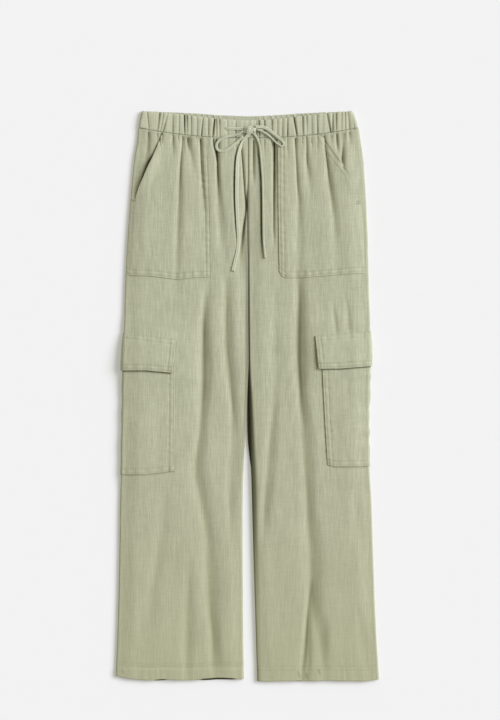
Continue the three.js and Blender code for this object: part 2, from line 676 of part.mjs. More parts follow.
const waist = new THREE.Group();
waist.add(named("waistband_front", waistbandFront(), COTTON));
waist.add(named("waistband_back", waistbandBack(), COTTON_BACK));
waist.add(named("drawstring_knot", knotGeometry(), CORD));
for (const strand of STRANDS) waist.add(named(strand.name, strandGeometry(strand), CORD));
trousers.add(waist);

export default trousers;
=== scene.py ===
import math

import bpy
import numpy as np
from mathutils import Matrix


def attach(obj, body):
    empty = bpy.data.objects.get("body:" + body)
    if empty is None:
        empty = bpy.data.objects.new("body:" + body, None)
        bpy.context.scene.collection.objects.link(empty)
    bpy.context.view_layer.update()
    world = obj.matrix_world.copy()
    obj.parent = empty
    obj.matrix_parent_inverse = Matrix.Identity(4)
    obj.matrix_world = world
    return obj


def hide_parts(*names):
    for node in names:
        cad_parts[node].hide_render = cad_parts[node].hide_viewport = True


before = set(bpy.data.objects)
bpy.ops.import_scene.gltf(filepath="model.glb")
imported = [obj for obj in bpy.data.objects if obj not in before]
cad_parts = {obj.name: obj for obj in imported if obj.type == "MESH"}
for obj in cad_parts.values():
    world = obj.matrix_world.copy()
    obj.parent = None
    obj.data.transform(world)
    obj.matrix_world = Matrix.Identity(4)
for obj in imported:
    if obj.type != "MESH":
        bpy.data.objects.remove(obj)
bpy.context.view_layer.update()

# Camera: straight above the trousers, as the photo was taken, far enough away to show no side.
# The photo is 500 by 720 pixels, and one pixel is 1.8 mm of cloth.
MM = 0.001
PIXEL = 1.8
PHOTO_HEIGHT = 720
PHOTO_MIDDLE = (4.95, 65.3)
CAMERA_DISTANCE = 12.0
CAMERA_SENSOR = 36
camera_data = bpy.data.cameras.new("camera")
camera_data.sensor_fit = "VERTICAL"
camera_data.sensor_height = CAMERA_SENSOR
camera_data.lens = CAMERA_SENSOR * CAMERA_DISTANCE / (PHOTO_HEIGHT * PIXEL * MM)
camera_data.clip_end = 50
camera = bpy.data.objects.new("camera", camera_data)
camera.location = (PHOTO_MIDDLE[0] * MM, PHOTO_MIDDLE[1] * MM, CAMERA_DISTANCE)
bpy.context.scene.collection.objects.link(camera)
bpy.context.scene.camera = camera
bpy.context.scene.view_settings.view_transform = "Standard"


# Drawstring: a flat tube of the trousers' own cloth, 6.4 mm wide, tied in a bow at the front.
# It comes out of a buttonhole on each side, and its two tails hang free over the centre seam.
OUTSEAM = 1027
CORD_THICK = 1.7
CORD_SPACING = 2.0
# Painted light: the cord is the trousers' own cloth, painted lighter for the light its raised loops and tails
# catch
CORD_LIT_COLOUR = (202, 204, 180)


def linear(colour):
    """A colour counted from 0 to 255, as amounts of light."""
    shares = [c / 255 for c in colour]
    return [c / 12.92 if c <= 0.04045 else ((c + 0.055) / 1.055) ** 2.4 for c in shares]


class Value:
    """A number that runs through a material's nodes, so that a sum on it reads as a sum."""

    def __init__(self, finish, socket):
        self.finish = finish
        self.socket = socket

    def maths(self, operation, *others):
        inputs = dict(enumerate([self, *others]))
        return self.finish.value("ShaderNodeMath", {"operation": operation}, inputs)

    def __add__(self, other):
        return self.maths("ADD", other)

    def __sub__(self, other):
        return self.maths("SUBTRACT", other)

    def __mul__(self, other):
        return self.maths("MULTIPLY", other)

    def __rsub__(self, other):
        return (self * -1) + other

    __radd__ = __add__
    __rmul__ = __mul__


class Finish:
    """A piece's material and the nodes that make it."""

    def __init__(self, name):
        self.material = bpy.data.materials.new(name)
        self.material.use_nodes = True
        self.tree = self.material.node_tree
        self.shader = self.tree.nodes["Principled BSDF"]

    def node(self, kind, settings, sockets):
        made = self.tree.nodes.new(kind)
        for setting, value in settings.items():
            setattr(made, setting, value)
        for key, value in sockets.items():
            if isinstance(value, Value):
                self.tree.links.new(value.socket, made.inputs[key])
            elif isinstance(value, bpy.types.NodeSocket):
                self.tree.links.new(value, made.inputs[key])
            else:
                made.inputs[key].default_value = value
        return made

    def value(self, kind, settings, sockets, output=0):
        return Value(self, self.node(kind, settings, sockets).outputs[output])

    def mixed(self, share, first, second):
        settings = {"data_type": "RGBA", "clamp_factor": True}
        return self.node("ShaderNodeMix", settings, {0: share, 6: first, 7: second}).outputs[2]

    def feed(self, key, value):
        socket = value.socket if isinstance(value, Value) else value
        self.tree.links.new(socket, self.shader.inputs[key])


# Painted shade in the troughs: cloth deep in a trough has light only from the cloth around it, so it is
# painted warmer, and then dark
HOLLOW_SHADE = (0.48, 0.46, 0.26)
DEEPEST_SHADE = (0.05, 0.05, 0.025)
# Painted shade: the cloth is a little darker and warmer towards the hems, where the light falls off
HEM_PAINTED_SHADE = (0.89, 0.84, 0.74)
# Thick and thin threads and clouds of dye: how many to the metre, across and down, and their detail
WARP = (600, 32, 2)
WEFT = (55, 600, 2)
CLOUDS = (14, 9, 3)
THREAD_PITCH = 1.15
# How strongly each shows in the cloth's tone, and in its relief
TONE = {"warp": 1.6, "weft": 0.65, "clouds": 0.25, "weave": 0.05}
RELIEF = {"warp": 0.6, "weft": 0.6, "weave": 0.22}
RELIEF_DEEP = {"Strength": 0.55, "Distance": 0.0005}
MATT = {"Roughness": 0.9, "Sheen Weight": 0.12, "Sheen Roughness": 0.5, "Specular IOR Level": 0.2}


def slub_cloth(name, colour, shade=0.8):
    """Cloth of thick and thin threads both ways, over a close plain weave. "shade" is the darkest
    thread's share of the colour. A value on the mesh's points, from 0 to 1, paints shade into the
    colour: warm in shallow troughs, then dark in crevices and other shaded places."""
    finish = Finish(name)
    place = finish.node("ShaderNodeTexCoord", {}, {}).outputs["Object"]

    def streaks(across, down, detail):
        stretched = finish.node("ShaderNodeMapping", {}, {"Vector": place, "Scale": (across, down, 60)})
        sockets = {"Vector": stretched.outputs[0], "Scale": 1.0, "Detail": detail, "Roughness": 0.6}
        return finish.value("ShaderNodeTexNoise", {"noise_dimensions": "3D"}, sockets)

    warp = streaks(*WARP)
    weft = streaks(*WEFT)
    clouds = streaks(*CLOUDS)
    split = finish.node("ShaderNodeSeparateXYZ", {}, {0: place}).outputs
    across = Value(finish, split[0])
    along = Value(finish, split[1])
    thread = 2 * math.pi / THREAD_PITCH / MM
    weave = (across * thread).maths("SINE") * (along * thread).maths("SINE")
    tone = (warp - 0.5) * TONE["warp"] + (weft - 0.5) * TONE["weft"]
    tone = tone + (clouds - 0.5) * TONE["clouds"] + weave * TONE["weave"] + 0.5
    dark = [c * shade for c in linear(colour)]
    light = [c * (2 - shade) for c in linear(colour)]
    threads = finish.mixed(tone, (*dark, 1), (*light, 1))
    # Painted shade that grows down the legs towards the hems
    down = along * -1.0 + 0.05
    hem_painted_colour, warm, deepest = [(*[c * s for c, s in zip(linear(colour), times)], 1)
                           for times in (HEM_PAINTED_SHADE, HOLLOW_SHADE, DEEPEST_SHADE)]
    # Painted shade: the mesh's value turns the colour towards the warm trough shade, then the deepest
    painted_shade = finish.value("ShaderNodeAttribute", {"attribute_name": "painted_shade"}, {}, 2)
    shaded = finish.mixed(painted_shade, warm, deepest)
    finish.feed("Base Color", finish.mixed(painted_shade, finish.mixed(down, threads, hem_painted_colour), shaded))
    height = warp * RELIEF["warp"] + weft * RELIEF["weft"] + weave * RELIEF["weave"]
    bump = finish.node("ShaderNodeBump", {}, {**RELIEF_DEEP, "Height": height})
    finish.feed("Normal", bump.outputs[0])
    for key, value in MATT.items():
        finish.shader.inputs[key].default_value = value
    return finish.material


def follow(pairs, at):
    """A smooth curve through [at, value] pairs, worked out for a whole array at once."""
    table = np.array(pairs, float)
    at = np.clip(np.asarray(at, float), table[0, 0], table[-1, 0])
    i = np.clip(np.searchsorted(table[:, 0], at, side="right") - 1, 0, len(table) - 2)
    before = np.maximum(np.arange(len(table)) - 1, 0)
    after = np.minimum(np.arange(len(table)) + 1, len(table) - 1)
    slope = (table[after, 1] - table[before, 1]) / (table[after, 0] - table[before, 0])
    span = table[i + 1, 0] - table[i, 0]
    t = (at - table[i, 0]) / span
    rise = table[i + 1, 1] - table[i, 1]
    bend = (1 - t) * (slope[i] * span - rise) - t * (slope[i + 1] * span - rise)
    return table[i, 1] + t * rise + t * (1 - t) * bend


def smooth(t):
    """Eases from 0 to 1."""
    held = np.clip(t, 0, 1)
    return held * held * (3 - 2 * held)


def mix(a, b, t):
    return a + (b - a) * t


def add_mesh(name, points, faces, material):
    """A smooth mesh from points in millimetres."""
    mesh = bpy.data.meshes.new(name)
    mesh.from_pydata((np.asarray(points) * MM).tolist(), [], faces)
    mesh.validate()
    mesh.shade_smooth()
    mesh.materials.append(material)
    made = bpy.data.objects.new(name, mesh)
    bpy.context.scene.collection.objects.link(made)
    return made


def place_at(x, drop, height):
    """Points on the trousers: across from the centre line, down from the waist corners, and up."""
    return np.stack([x, OUTSEAM / 2 - drop, height], axis=-1)


def dense_route(route, spacing):
    """Points at even steps on a smooth curve through a cord's listed points."""
    points = place_at(*np.array(route, float).T)
    reach = np.concatenate([[0], np.cumsum(np.linalg.norm(np.diff(points, axis=0), axis=1))])
    at = np.linspace(0, reach[-1], max(int(reach[-1] / spacing), 8) + 1)
    return np.stack([follow(np.stack([reach, points[:, k]], axis=-1), at) for k in range(3)], axis=-1)


RIBBON_SIDES = 20
# The section's flat sides and top, its furrow, and the shade painted in the furrow and underneath
SIDE_ROUND = 0.7
TOP_ROUND = 0.8
FURROW = {"deep": 0.3, "half": 0.1, "dark": 0.4, "dark_half": 0.09}
UNDER_PAINTED_SHADE = 0.75
END_SHARE = 0.12


def ribbon(points, width, thick, roll, taper=0.0):
    """A flat cord's skin along a route. Its width, its thickness and its roll on edge, in degrees,
    are followed from end to end, and the tape it is folded from leaves a furrow along its middle."""
    along = np.gradient(points, axis=0)
    along /= np.linalg.norm(along, axis=1)[:, None]
    across = np.cross(along, [0, 0, 1])
    across /= np.linalg.norm(across, axis=1)[:, None]
    up = np.cross(across, along)
    share = np.linspace(0, 1, len(points))
    turn = np.radians(follow(roll, share))[:, None, None]
    angle = np.arange(RIBBON_SIDES) * 2 * math.pi / RIBBON_SIDES
    flat = np.sign(np.cos(angle)) * np.abs(np.cos(angle)) ** SIDE_ROUND / 2
    tall = np.sign(np.sin(angle)) * np.abs(np.sin(angle)) ** TOP_ROUND / 2
    tall = tall * (1 - FURROW["deep"] * np.exp(-((flat / FURROW["half"]) ** 2)))
    pinch = 1 - taper * (1 - smooth(np.minimum(share, 1 - share) / END_SHARE))
    a = (flat * (follow(width, share) * pinch)[:, None])[:, :, None]
    b = (tall * follow(thick, share)[:, None])[:, :, None]
    side = across[:, None, :] * (a * np.cos(turn) - b * np.sin(turn))
    rise = up[:, None, :] * (a * np.sin(turn) + b * np.cos(turn))
    rings = points[:, None, :] + side + rise
    count = len(points)
    faces = []
    for ring in range(0, (count - 1) * RIBBON_SIDES, RIBBON_SIDES):
        for j in range(RIBBON_SIDES):
            k = (j + 1) % RIBBON_SIDES
            faces.append((ring + j, ring + k, ring + RIBBON_SIDES + k, ring + RIBBON_SIDES + j))
    faces.append(tuple(range(RIBBON_SIDES - 1, -1, -1)))
    faces.append(tuple((count - 1) * RIBBON_SIDES + j for j in range(RIBBON_SIDES)))
    # Painted shade in the furrow and underneath
    dark = FURROW["dark"] * np.exp(-((flat / FURROW["dark_half"]) ** 2)) * (tall > 0)
    dark = dark + UNDER_PAINTED_SHADE * smooth(-tall * 3)
    return rings.reshape(-1, 3), faces, np.tile(dark, count)


def set_painted_shade(made, values):
    """Gives each point of a mesh the amount of shade that its material paints into its colour."""
    kept = made.data.attributes.new("painted_shade", "FLOAT", "POINT")
    kept.data.foreach_set("value", np.asarray(values, np.float32).ravel())


# Each cord's width, thickness and roll are [share of the way, value], and its route is listed
# points [x, drop, height], from the buttonhole through the knot, or from the knot round a loop
FLAT = [[0, 0], [1, 0]]
EVEN_THICK = [[0, CORD_THICK], [1, CORD_THICK]]
CORDS = [
    {"name": "cord_left", "nodes": ["drawstring_lead_left", "drawstring_tail_right"], "end": "bare",
     "width": [[0, 5.4], [0.1, 5.4], [0.2, 6.2], [1, 6.4]], "thick": EVEN_THICK,
     "roll": [[0, 0], [0.12, 8], [0.2, 34], [0.35, 14], [0.6, 8], [1, 4]], "route": [
        [37, 31.4, 8.2], [30, 31.8, 9.8], [23, 32.4, 10.2], [17, 33.2, 10.5], [8, 36.2, 13.2],
        [1.5, 43.2, 11.8], [-3.6, 49.6, 10.5], [-9.0, 57.5, 9.4], [-13.4, 70, 10.2], [-16.7, 85, 11.1],
        [-18.4, 115, 11.9], [-18.6, 160, 11.9], [-16.9, 200, 11.1], [-15.4, 232, 10.0], [-17.2, 252, 10.2],
        [-21.0, 268, 11.0], [-25.7, 288, 11.6],
    ]},
    {"name": "cord_right", "nodes": ["drawstring_lead_right", "drawstring_tail_left"], "end": "bare",
     "width": [[0, 5.4], [0.17, 5.0], [0.24, 3.6], [1, 3.4]],
     "thick": [[0, CORD_THICK], [0.17, CORD_THICK], [0.26, 4], [1, 4.2]],
     "roll": FLAT, "route": [
        [-41.5, 31.2, 8.2], [-34, 31.6, 9.8], [-20, 31.8, 10.2], [-6.6, 32.6, 10.9], [4, 35.4, 13.0],
        [12.6, 41.4, 11.6], [18.2, 50.5, 11.3], [22.4, 63, 11.9], [25.2, 88, 12.8], [27.8, 125, 13.2],
        [28.6, 160, 13.2], [29, 200, 13.1], [29.6, 232, 13.0], [31.0, 250, 12.9], [32.6, 265, 12.9],
    ]},
    {"name": "loop_right", "nodes": ["drawstring_loop_right"], "end": "object",
     "width": [[0, 3.4], [0.3, 4.6], [1, 5.2]], "thick": EVEN_THICK, "roll": FLAT, "route": [
        [-7.6, 36.6, 13.3], [-14.5, 41.2, 11.6], [-27, 44.4, 10.6], [-40, 47.6, 10.7], [-50.5, 53.2, 9.7],
        [-55.2, 61.5, 9.3], [-53.2, 69.4, 9.3], [-46, 72.6, 10.2], [-37.5, 70.6, 11.3], [-26.5, 62.8, 11.2],
        [-16, 54.4, 11.1], [-7.5, 46, 12.6],
    ]},
    {"name": "loop_left", "nodes": ["drawstring_loop_left"], "end": "object",
     "width": [[0, 2.8], [0.4, 3.2], [0.6, 5.0], [1, 5.0]],
     "thick": [[0, 2.8], [0.4, 2.6], [0.6, CORD_THICK], [1, CORD_THICK]], "roll": FLAT, "route": [
        [17.6, 33.6, 13.3], [27, 36.6, 12.6], [36, 42.4, 11.8], [45.5, 50.8, 11.1], [54, 58.8, 11.6],
        [61.2, 63.4, 12.8], [65.8, 61.2, 12.9], [63.4, 54.6, 12.7], [55, 47.4, 11.9], [44, 38.2, 11.5],
        [31, 30.2, 12.3], [14.3, 28.5, 13.4],
    ]},
]
# The knot's four turns, each its width and its points
KNOT_WRAPS = [
    [5.6, [[-6.5, 33.5, 11.5], [-2, 31.5, 14], [4, 31, 15.2], [10, 33, 14.6], [15, 36.5, 12]]],
    [5.2, [[-6.5, 37.5, 12], [-1, 37, 14], [5, 36, 14.8], [11, 33.5, 14.2], [15.6, 33, 12]]],
    [5.6, [[2, 42, 11.4], [1, 38, 15.4], [3, 33, 16.6], [6, 30, 15], [7.6, 29.5, 11.6]]],
    [3.4, [[-4, 34, 12], [-1.5, 31, 14.6], [4, 29.4, 15.4], [9.5, 31, 15.4], [12.4, 36, 14],
           [12.8, 40.6, 12]]],
]
WRAP_THICK = [[0, 2.4], [1, 2.4]]
WRAP_SPACING = 1.2
WRAP_TAPER = 0.4
lit_cord_cloth = slub_cloth("lit_cord_cloth", CORD_LIT_COLOUR, 0.9)

knot_points = np.zeros((0, 3))
knot_faces = []
knot_painted_shade = []
for width, route in KNOT_WRAPS:
    path = dense_route(route, WRAP_SPACING)
    skin, faces, dark = ribbon(path, [[0, width], [1, width]], WRAP_THICK, FLAT, WRAP_TAPER)
    knot_faces += [tuple(i + len(knot_points) for i in face) for face in faces]
    knot_points = np.concatenate([knot_points, skin])
    knot_painted_shade = np.concatenate([knot_painted_shade, dark])
knot = add_mesh("knot", knot_points, knot_faces, lit_cord_cloth)
set_painted_shade(knot, knot_painted_shade)
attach(knot, "root")
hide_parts("drawstring_knot")

for cord in CORDS:
    path = dense_route(cord["route"], CORD_SPACING)
    skin, faces, dark = ribbon(path, cord["width"], cord["thick"], cord["roll"])
    strand = add_mesh(cord["name"], skin, faces, lit_cord_cloth)
    set_painted_shade(strand, dark)
    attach(strand, "root")
    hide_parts(*cord["nodes"])
    widest = max(width for _, width in cord["width"])
    widest * MM


# Legs: each is a tube of cloth pressed flat, its front panel over its back panel, joined at the
# side seam, which the back cloth rolls over, and at the inseam. "drop" is the distance down from
# the waist corners, and x runs outwards from the centre line, in millimetres.
SEAM_GAP = 0.3
CLOTH = 1.4
HEM_EXTRA = 0.6
HEM_DEPTH = 22
BETWEEN = 2.4
OUTER_ROLL = 1.4
INNER_ROLL = 2.2
CROTCH_DROP = 300
POCKET_CLOTH = 1.4
FLAP_CLOTH = 1.8
SHEET_CLOTH = 1.0
CLOTH_COLOUR = (184, 186, 159)
WAIST_SEAM_CENTRE = 49
WAIST_SEAM_RISE = 18.4
WAIST_SEAM_POWER = 2.2
SIDES = {"right": -1, "left": 1}
# The outline of each leg, as the distance from the centre line at each of these drops
OUTLINE_DROPS = [0, 31, 52, 88, 160, 232, 304, 376, 440, 484, 560, 640, 700, 790, 880, 952, 1028]
OUTLINE = {
    ("right", "outer"): [190.3, 195.9, 197.7, 203.5, 210.3, 215.6, 219.3, 221.3, 222.8, 223.6, 225.0, 226.6,
                         228.7, 230.0, 231.8, 234.1, 237.3],
    ("right", "inner"): [-1.2, -1.2, -1.2, -1.2, -1.4, -1.6, -1.7, -1.7, -1.6, -1.0, 2.0, 6.8, 8.2, 8.3, 7.7,
                         7.2, 6.0],
    ("left", "inner"): [1.5, 1.5, 1.5, 1.5, 1.7, 1.9, 2.0, 2.2, 2.6, 3.0, 4.6, 6.7, 8.4, 10.8, 13.4,
                        15.6, 17.9],
    ("left", "outer"): [190.0, 200.4, 203.7, 208.9, 213.8, 217.0, 218.5, 221.0, 221.0, 219.6, 218.6, 219.6,
                        223.3, 226.3, 229.3, 232.7, 237.5],
}
EDGE = {key: np.stack([OUTLINE_DROPS, values], axis=-1) for key, values in OUTLINE.items()}
# Where the side seam lies, as a share of the way from the inseam's fold to the outer fold
SIDE_SEAM = {
    "right": [[30, 0.994], [100, 0.994], [230, 0.994], [360, 0.994]],
    "left": [[30, 0.962], [100, 0.955], [230, 0.981], [360, 0.994]],
}
# How far the front lies above the back, down the leg
FULLNESS = [[20, 3.4], [60, 4.6], [130, 5.6], [300, 5.0], [420, 5.2], [700, 4.8], [940, 4.2], [1027, 2.0]]

# The hem's rise towards the inseam (share 0) and the side seam (share 1), the front hem's small
# lifts, under which the back shows in painted shade, and the row of stitches that holds the hem
HEM_RISE = {
    "right": [[0, 4.2], [0.06, 3.8], [0.2, 3.4], [0.36, 3.2], [0.5, 3.2], [0.66, 2.0], [0.78, 3.2],
              [0.88, 5.6], [0.95, 7.8], [1, 10]],
    "left": [[0, 0.6], [0.1, 0], [0.3, 1.2], [0.6, 1.4], [0.9, 1.4], [0.95, 2.0], [1, 3.6]],
}
HEM_LIFT = {
    "right": [[0, 0.3], [0.03, 0.4], [0.08, 2.6], [0.3, 2.8], [0.36, 0.2], [0.58, 0.1], [0.62, 1.8],
              [0.68, 1.8], [0.72, 0.1], [1, 0]],
    "left": [[0, 0.2], [0.3, 0.5], [0.33, 1.2], [0.37, 0.2], [1, 0]],
}
HEM_ROW = {"right": 1002, "left": 1006}
HEM_ROWS_APART = 5
# Short pleats that the hem's stitches hold, drawn only as painted shade: [x, drop at the middle, half length]
HEM_PLEATS = {"right": [[-224, 1008, 5]], "left": [[92.3, 1014, 6], [129, 1009, 5], [107, 1017, 5]]}

# The painted shade along the inseam where the legs meet and part, and how far it reaches onto the leg;
# below the crotch the left leg's back, painted dark as it lies in that shade, shows past its front
INSEAM_SHADE = {
    "right": [[200, 0], [240, 0.3], [300, 0.6], [500, 0.6], [580, 0.35], [680, 0]],
    "left": [[200, 0], [240, 0.4], [330, 0.85], [470, 0.95], [592, 0.92], [727, 0.84], [808, 0.66],
             [916, 0.42], [1027, 0.35]],
}
INSEAM_REACH = {
    "right": [[200, 2], [300, 3.4], [500, 3.4], [680, 3]],
    "left": [[200, 1.4], [412, 2], [470, 2.6], [520, 5.4], [592, 7.6], [682, 9.6], [727, 8.6], [808, 8.2],
             [916, 7], [1027, 6]],
}
BACK_PAINTED_SHADE = 0.92
BACK_SHOWS = [[450, 0], [484, 1.6], [520, 3.7], [560, 5.0], [592, 4.8], [615, 3.0], [640, 0.6], [655, 0]]

# Troughs between the front's folds: [drop, x, depth] down each, then its width at top and bottom
FOLDS = [
    # Gathers of the right leg
    [[[10, -178, 3.0], [60, -178.4, 2.8], [122, -186, 0]], 2.2, 6],
    [[[10, -133.4, 4.2], [50, -133.4, 3.6], [88, -134.4, 0]], 1.9, 4],
    [[[10, -116.4, 5.6], [50, -116.8, 5.6], [90, -119.6, 5.2], [170, -122, 3.6],
      [250, -125.5, 2.4], [340, -128, 0]], 2.2, 9],
    [[[10, -106, 4.6], [56, -105.6, 4.2], [76, -102, 2.2], [132, -91, 0]], 1.8, 8],
    [[[10, -87.4, 5.4], [80, -83.6, 4.8], [140, -80, 3.2], [215, -77, 0]], 2.1, 6],
    [[[10, -55.5, 6.6], [88, -53.3, 6.8], [118, -52.4, 5.4], [143, -51.2, 4.0], [210, -47, 2.6],
      [290, -40, 0]], 2.4, 8],
    # Between and beside the drawstring's tails
    [[[10, -61.5, 3.2], [61, -59.6, 4.8], [78, -57, 3.2], [95, -54.6, 0]], 2.0, 2],
    [[[30, -11, 2.4], [61, -11, 3.8], [88, -8.8, 4.6], [115, -6.6, 4.4], [142, -4.6, 4.4],
      [165, -2.6, 3.0], [185, -2, 0]], 2.2, 3.4],
    [[[10, 11.4, 3.2], [61, 11.6, 4.2], [88, 11.4, 4.0], [115, 11.2, 2.6], [138, 11, 0]], 2.2, 3],
    [[[56, -15, 0], [75, -19.2, 4.4], [100, -22, 5.2], [160, -22.8, 5.0], [200, -21, 4.0],
      [240, -19.4, 0]], 1.9, 2],
    [[[60, 18.4, 0], [88, 21.9, 6.4], [125, 24.7, 8.2], [160, 25.3, 8.2], [200, 25.7, 7.0],
      [232, 26.4, 4.8], [262, 28.6, 0]], 2.1, 2.1],
    [[[140, -1, 0], [172, -1, 4.2], [210, -5, 5.6], [255, -9, 4.0], [310, -15, 0]], 4, 9],
    # Gathers of the left leg
    [[[10, 49.4, 6.8], [80, 49.1, 7.2], [140, 48.2, 6.6], [190, 47.9, 4.4], [250, 47.4, 0]], 2.9, 2.6],
    [[[10, 83, 4.8], [90, 88, 4.6], [142, 91.4, 3.4], [170, 93, 2.8], [250, 92, 2.2], [340, 90, 0]], 2.2, 9],
    [[[10, 104, 4.2], [61, 106.8, 4.4], [88, 107.5, 4.2], [115, 110.5, 2.6], [142, 112, 1.0],
      [170, 113, 0]], 1.9, 6],
    [[[10, 136, 4.6], [54, 139, 4.8], [90, 143.6, 4.8], [133, 149, 4.4], [180, 155.3, 3.0],
      [250, 161, 1.4], [330, 165, 0]], 2.4, 11],
    [[[10, 161, 2.4], [41, 161.6, 3.4], [61, 162.4, 3.4], [78, 163, 0]], 2.2, 3],
    [[[10, 171, 2.0], [34, 172, 3.0], [58, 172.6, 2.4], [72, 172.4, 3.8], [88, 171.6, 4.6],
      [108, 174, 0]], 2.4, 4],
    [[[10, 184, 2.0], [34, 185, 2.8], [68, 186, 0]], 2.6, 4],
    # Long troughs of the right leg
    [[[280, -38, 0], [330, -36, 3.2], [419, -34, 4.6], [484, -28, 4.6], [549, -23, 3.9],
      [600, -24, 2.6], [646, -27, 2.7], [700, -29, 2.9], [740, -29, 2.0], [800, -29, 0]], 10, 9],
    [[[290, -70, 0], [340, -74, 2.9], [387, -76, 4.9], [484, -76, 5.1], [581, -82.5, 3.7],
      [640, -88.5, 4.1], [664, -87, 4.0], [713, -78, 3.2], [770, -70, 2.9], [826, -66, 3.4],
      [880, -64.5, 3.9], [934, -60, 4.1], [988, -57, 3.4], [1024, -54, 1.5]], 9, 12],
    [[[680, -148, 0], [722, -150.6, 1.2], [800, -160, 1.8], [884, -173, 1.5], [950, -178, 0]], 9, 13],
    [[[780, -104, 0], [880, -106.6, 2.2], [940, -107, 2.6], [997, -108, 2.2], [1027, -108, 1.0]], 9, 9],
    # Long troughs of the left leg
    [[[270, 95, 0], [322, 95.7, 4.1], [387, 95.7, 5.6], [452, 95.7, 5.6], [517, 98.5, 4.9],
      [581, 105, 3.9], [650, 109, 3.9], [729, 112.5, 4.0], [790, 117.5, 3.9], [862, 120, 4.3],
      [915, 124, 3.2], [965, 130, 1.6], [1010, 134, 0]], 10, 12],
    [[[840, 114, 0], [885, 111.5, 2.8], [925, 109, 4.2], [979, 106, 4.2], [1027, 102, 2.6]], 7, 7],
    [[[900, 135, 0], [945, 137.6, 2.4], [985, 138, 2.0], [1027, 138, 1.0]], 7, 9],
    [[[300, 50, 0], [419, 50, 1.7], [517, 50, 1.5], [549, 47, 2.7], [664, 38, 3.2],
      [722, 32.5, 2.7], [780, 29, 0]], 9, 8],
    [[[650, 195.5, 0], [725, 196.5, 1.8], [800, 198, 0]], 8, 10],
    [[[870, 196, 0], [945, 206, 1.8], [1022, 217, 0]], 8, 10],
    [[[340, 154, 0], [370, 157, 2.0], [402, 160, 1.2]], 3, 5],
    [[[330, 178, 0], [365, 181, 1.7], [400, 184, 1.2]], 3, 5],
]

# Gathers of the elastic, each its x at the waistband's top and bottom and its depth
CREASE_DEEP = 3.0
GATHERS = [
    [-180, -177, 0.6], [-157, -161.5, 1], [-150.5, -156, 0.8], [-143, -151.5, 0.9], [-134, -134, 0.7],
    [-123, -123, 0.5], [-112.8, -112.8, 1], [-108.4, -108.4, 0.8], [-101, -101, 1], [-90.5, -90.5, 0.7],
    [-79.6, -82.4, 1], [-70, -70, 0.6], [-58.4, -62, 1], [-55, -55.4, 0.7], [-50, -50, 0.9],
    [-36, -35, 0.5], [-20.8, -20.8, 0.8], [17, 17, 0.7], [21, 22, 0.8], [31, 31, 0.8],
    [44.5, 44.5, 1], [54, 54, 0.8], [63, 63, 0.7], [72.3, 72.3, 0.8], [84, 89.5, 1],
    [100, 100, 0.8], [107, 107, 0.8], [115.5, 116.5, 0.6], [125, 127, 1], [143.6, 150.4, 1],
    [154, 154, 0.7], [160, 160, 0.8], [170, 169, 0.5], [176, 176, 0.9], [181, 184, 0.9], [192, 193, 0.6],
]


def waist_seam(share):
    return WAIST_SEAM_CENTRE - WAIST_SEAM_RISE * share ** WAIST_SEAM_POWER


def drop_of(side, level, share, front=False):
    upper = 1 - smooth((level - WAIST_SEAM_CENTRE) / (CROTCH_DROP - WAIST_SEAM_CENTRE))
    lower = smooth((level - 940) / (OUTSEAM - 940))
    hem = follow(HEM_RISE[side], share) + 0.35 * np.sin(share * 31 + 2) + 0.4 * np.sin(share * 13)
    if front:
        hem = hem + follow(HEM_LIFT[side], share)
    return level + (waist_seam(share) - WAIST_SEAM_CENTRE) * upper - hem * lower


def layer_share(x, drop, top, bottom):
    """1 where a wrapped pocket lies under the leg, easing to 0 round it."""
    down = smooth((drop - top) / 30 + 1) * smooth((bottom - drop) / 30 + 1)
    return smooth((x - 66) / 52) * down


def lift(x, drop):
    """How far the cargo pocket and flap underneath hold the leg off the floor."""
    pocket = (POCKET_CLOTH + SEAM_GAP) * layer_share(x, drop, 426, 656)
    return pocket + (FLAP_CLOTH + SEAM_GAP) * layer_share(x, drop, 388, 472)


def cloth_wall(drop):
    return CLOTH + HEM_EXTRA * smooth((drop - (OUTSEAM - HEM_DEPTH)) / 3 + 1)


def fold_profile(away, sharp):
    """A trough's depth beside its line: a soft dip, or a sharp crease, or between the two."""
    soft = np.exp(-away * away)
    crease = np.exp(-1.3 * (np.sqrt(away * away + 0.03) - 0.17))
    return mix(soft, crease, sharp)


# The painted shade lies towards the flank that faces the lamp, because the other has its own
SHADE_SIDE = 0.3
NARROW = 3.2


def trough_shade(profile, width):
    """How much shade is painted into a trough for its depth: the narrower it is, the less light reaches into
    it.
    """
    narrowness = np.minimum(NARROW / width, 1.7)
    return profile ** np.where(narrowness > 1, 2, 1.5) * narrowness ** np.where(narrowness > 1, 0.9, 0.35)


def fold_dips(x, drop):
    """Depth of the folds' troughs, and the shade painted into them."""
    depth = np.zeros(np.broadcast(x, drop).shape)
    shade = depth.copy()
    for path, narrow, wide in FOLDS:
        row = np.array(path)
        t = np.clip((drop - row[0, 0]) / (row[-1, 0] - row[0, 0]), 0, 1)
        deep = np.maximum(follow(row[:, [0, 2]], drop), 0) * ((drop > row[0, 0]) & (drop < row[-1, 0]))
        width = mix(narrow, wide, smooth(t)) * (1 + 0.16 * np.sin(drop / 31 + row[0, 1]))
        sharp = 0.5 * (1 - smooth(t * 2)) * (row[0, 0] < CROTCH_DROP - 60)
        away = (x - follow(row[:, :2], drop)) / width
        depth += deep * fold_profile(away, sharp)
        shaded = fold_profile(away + SHADE_SIDE * np.minimum(NARROW / width, 1), sharp)
        shade += deep * trough_shade(shaded, width)
    return depth, shade


TUCK_WIDE = 2.0
TUCK_DEEP = 2.4


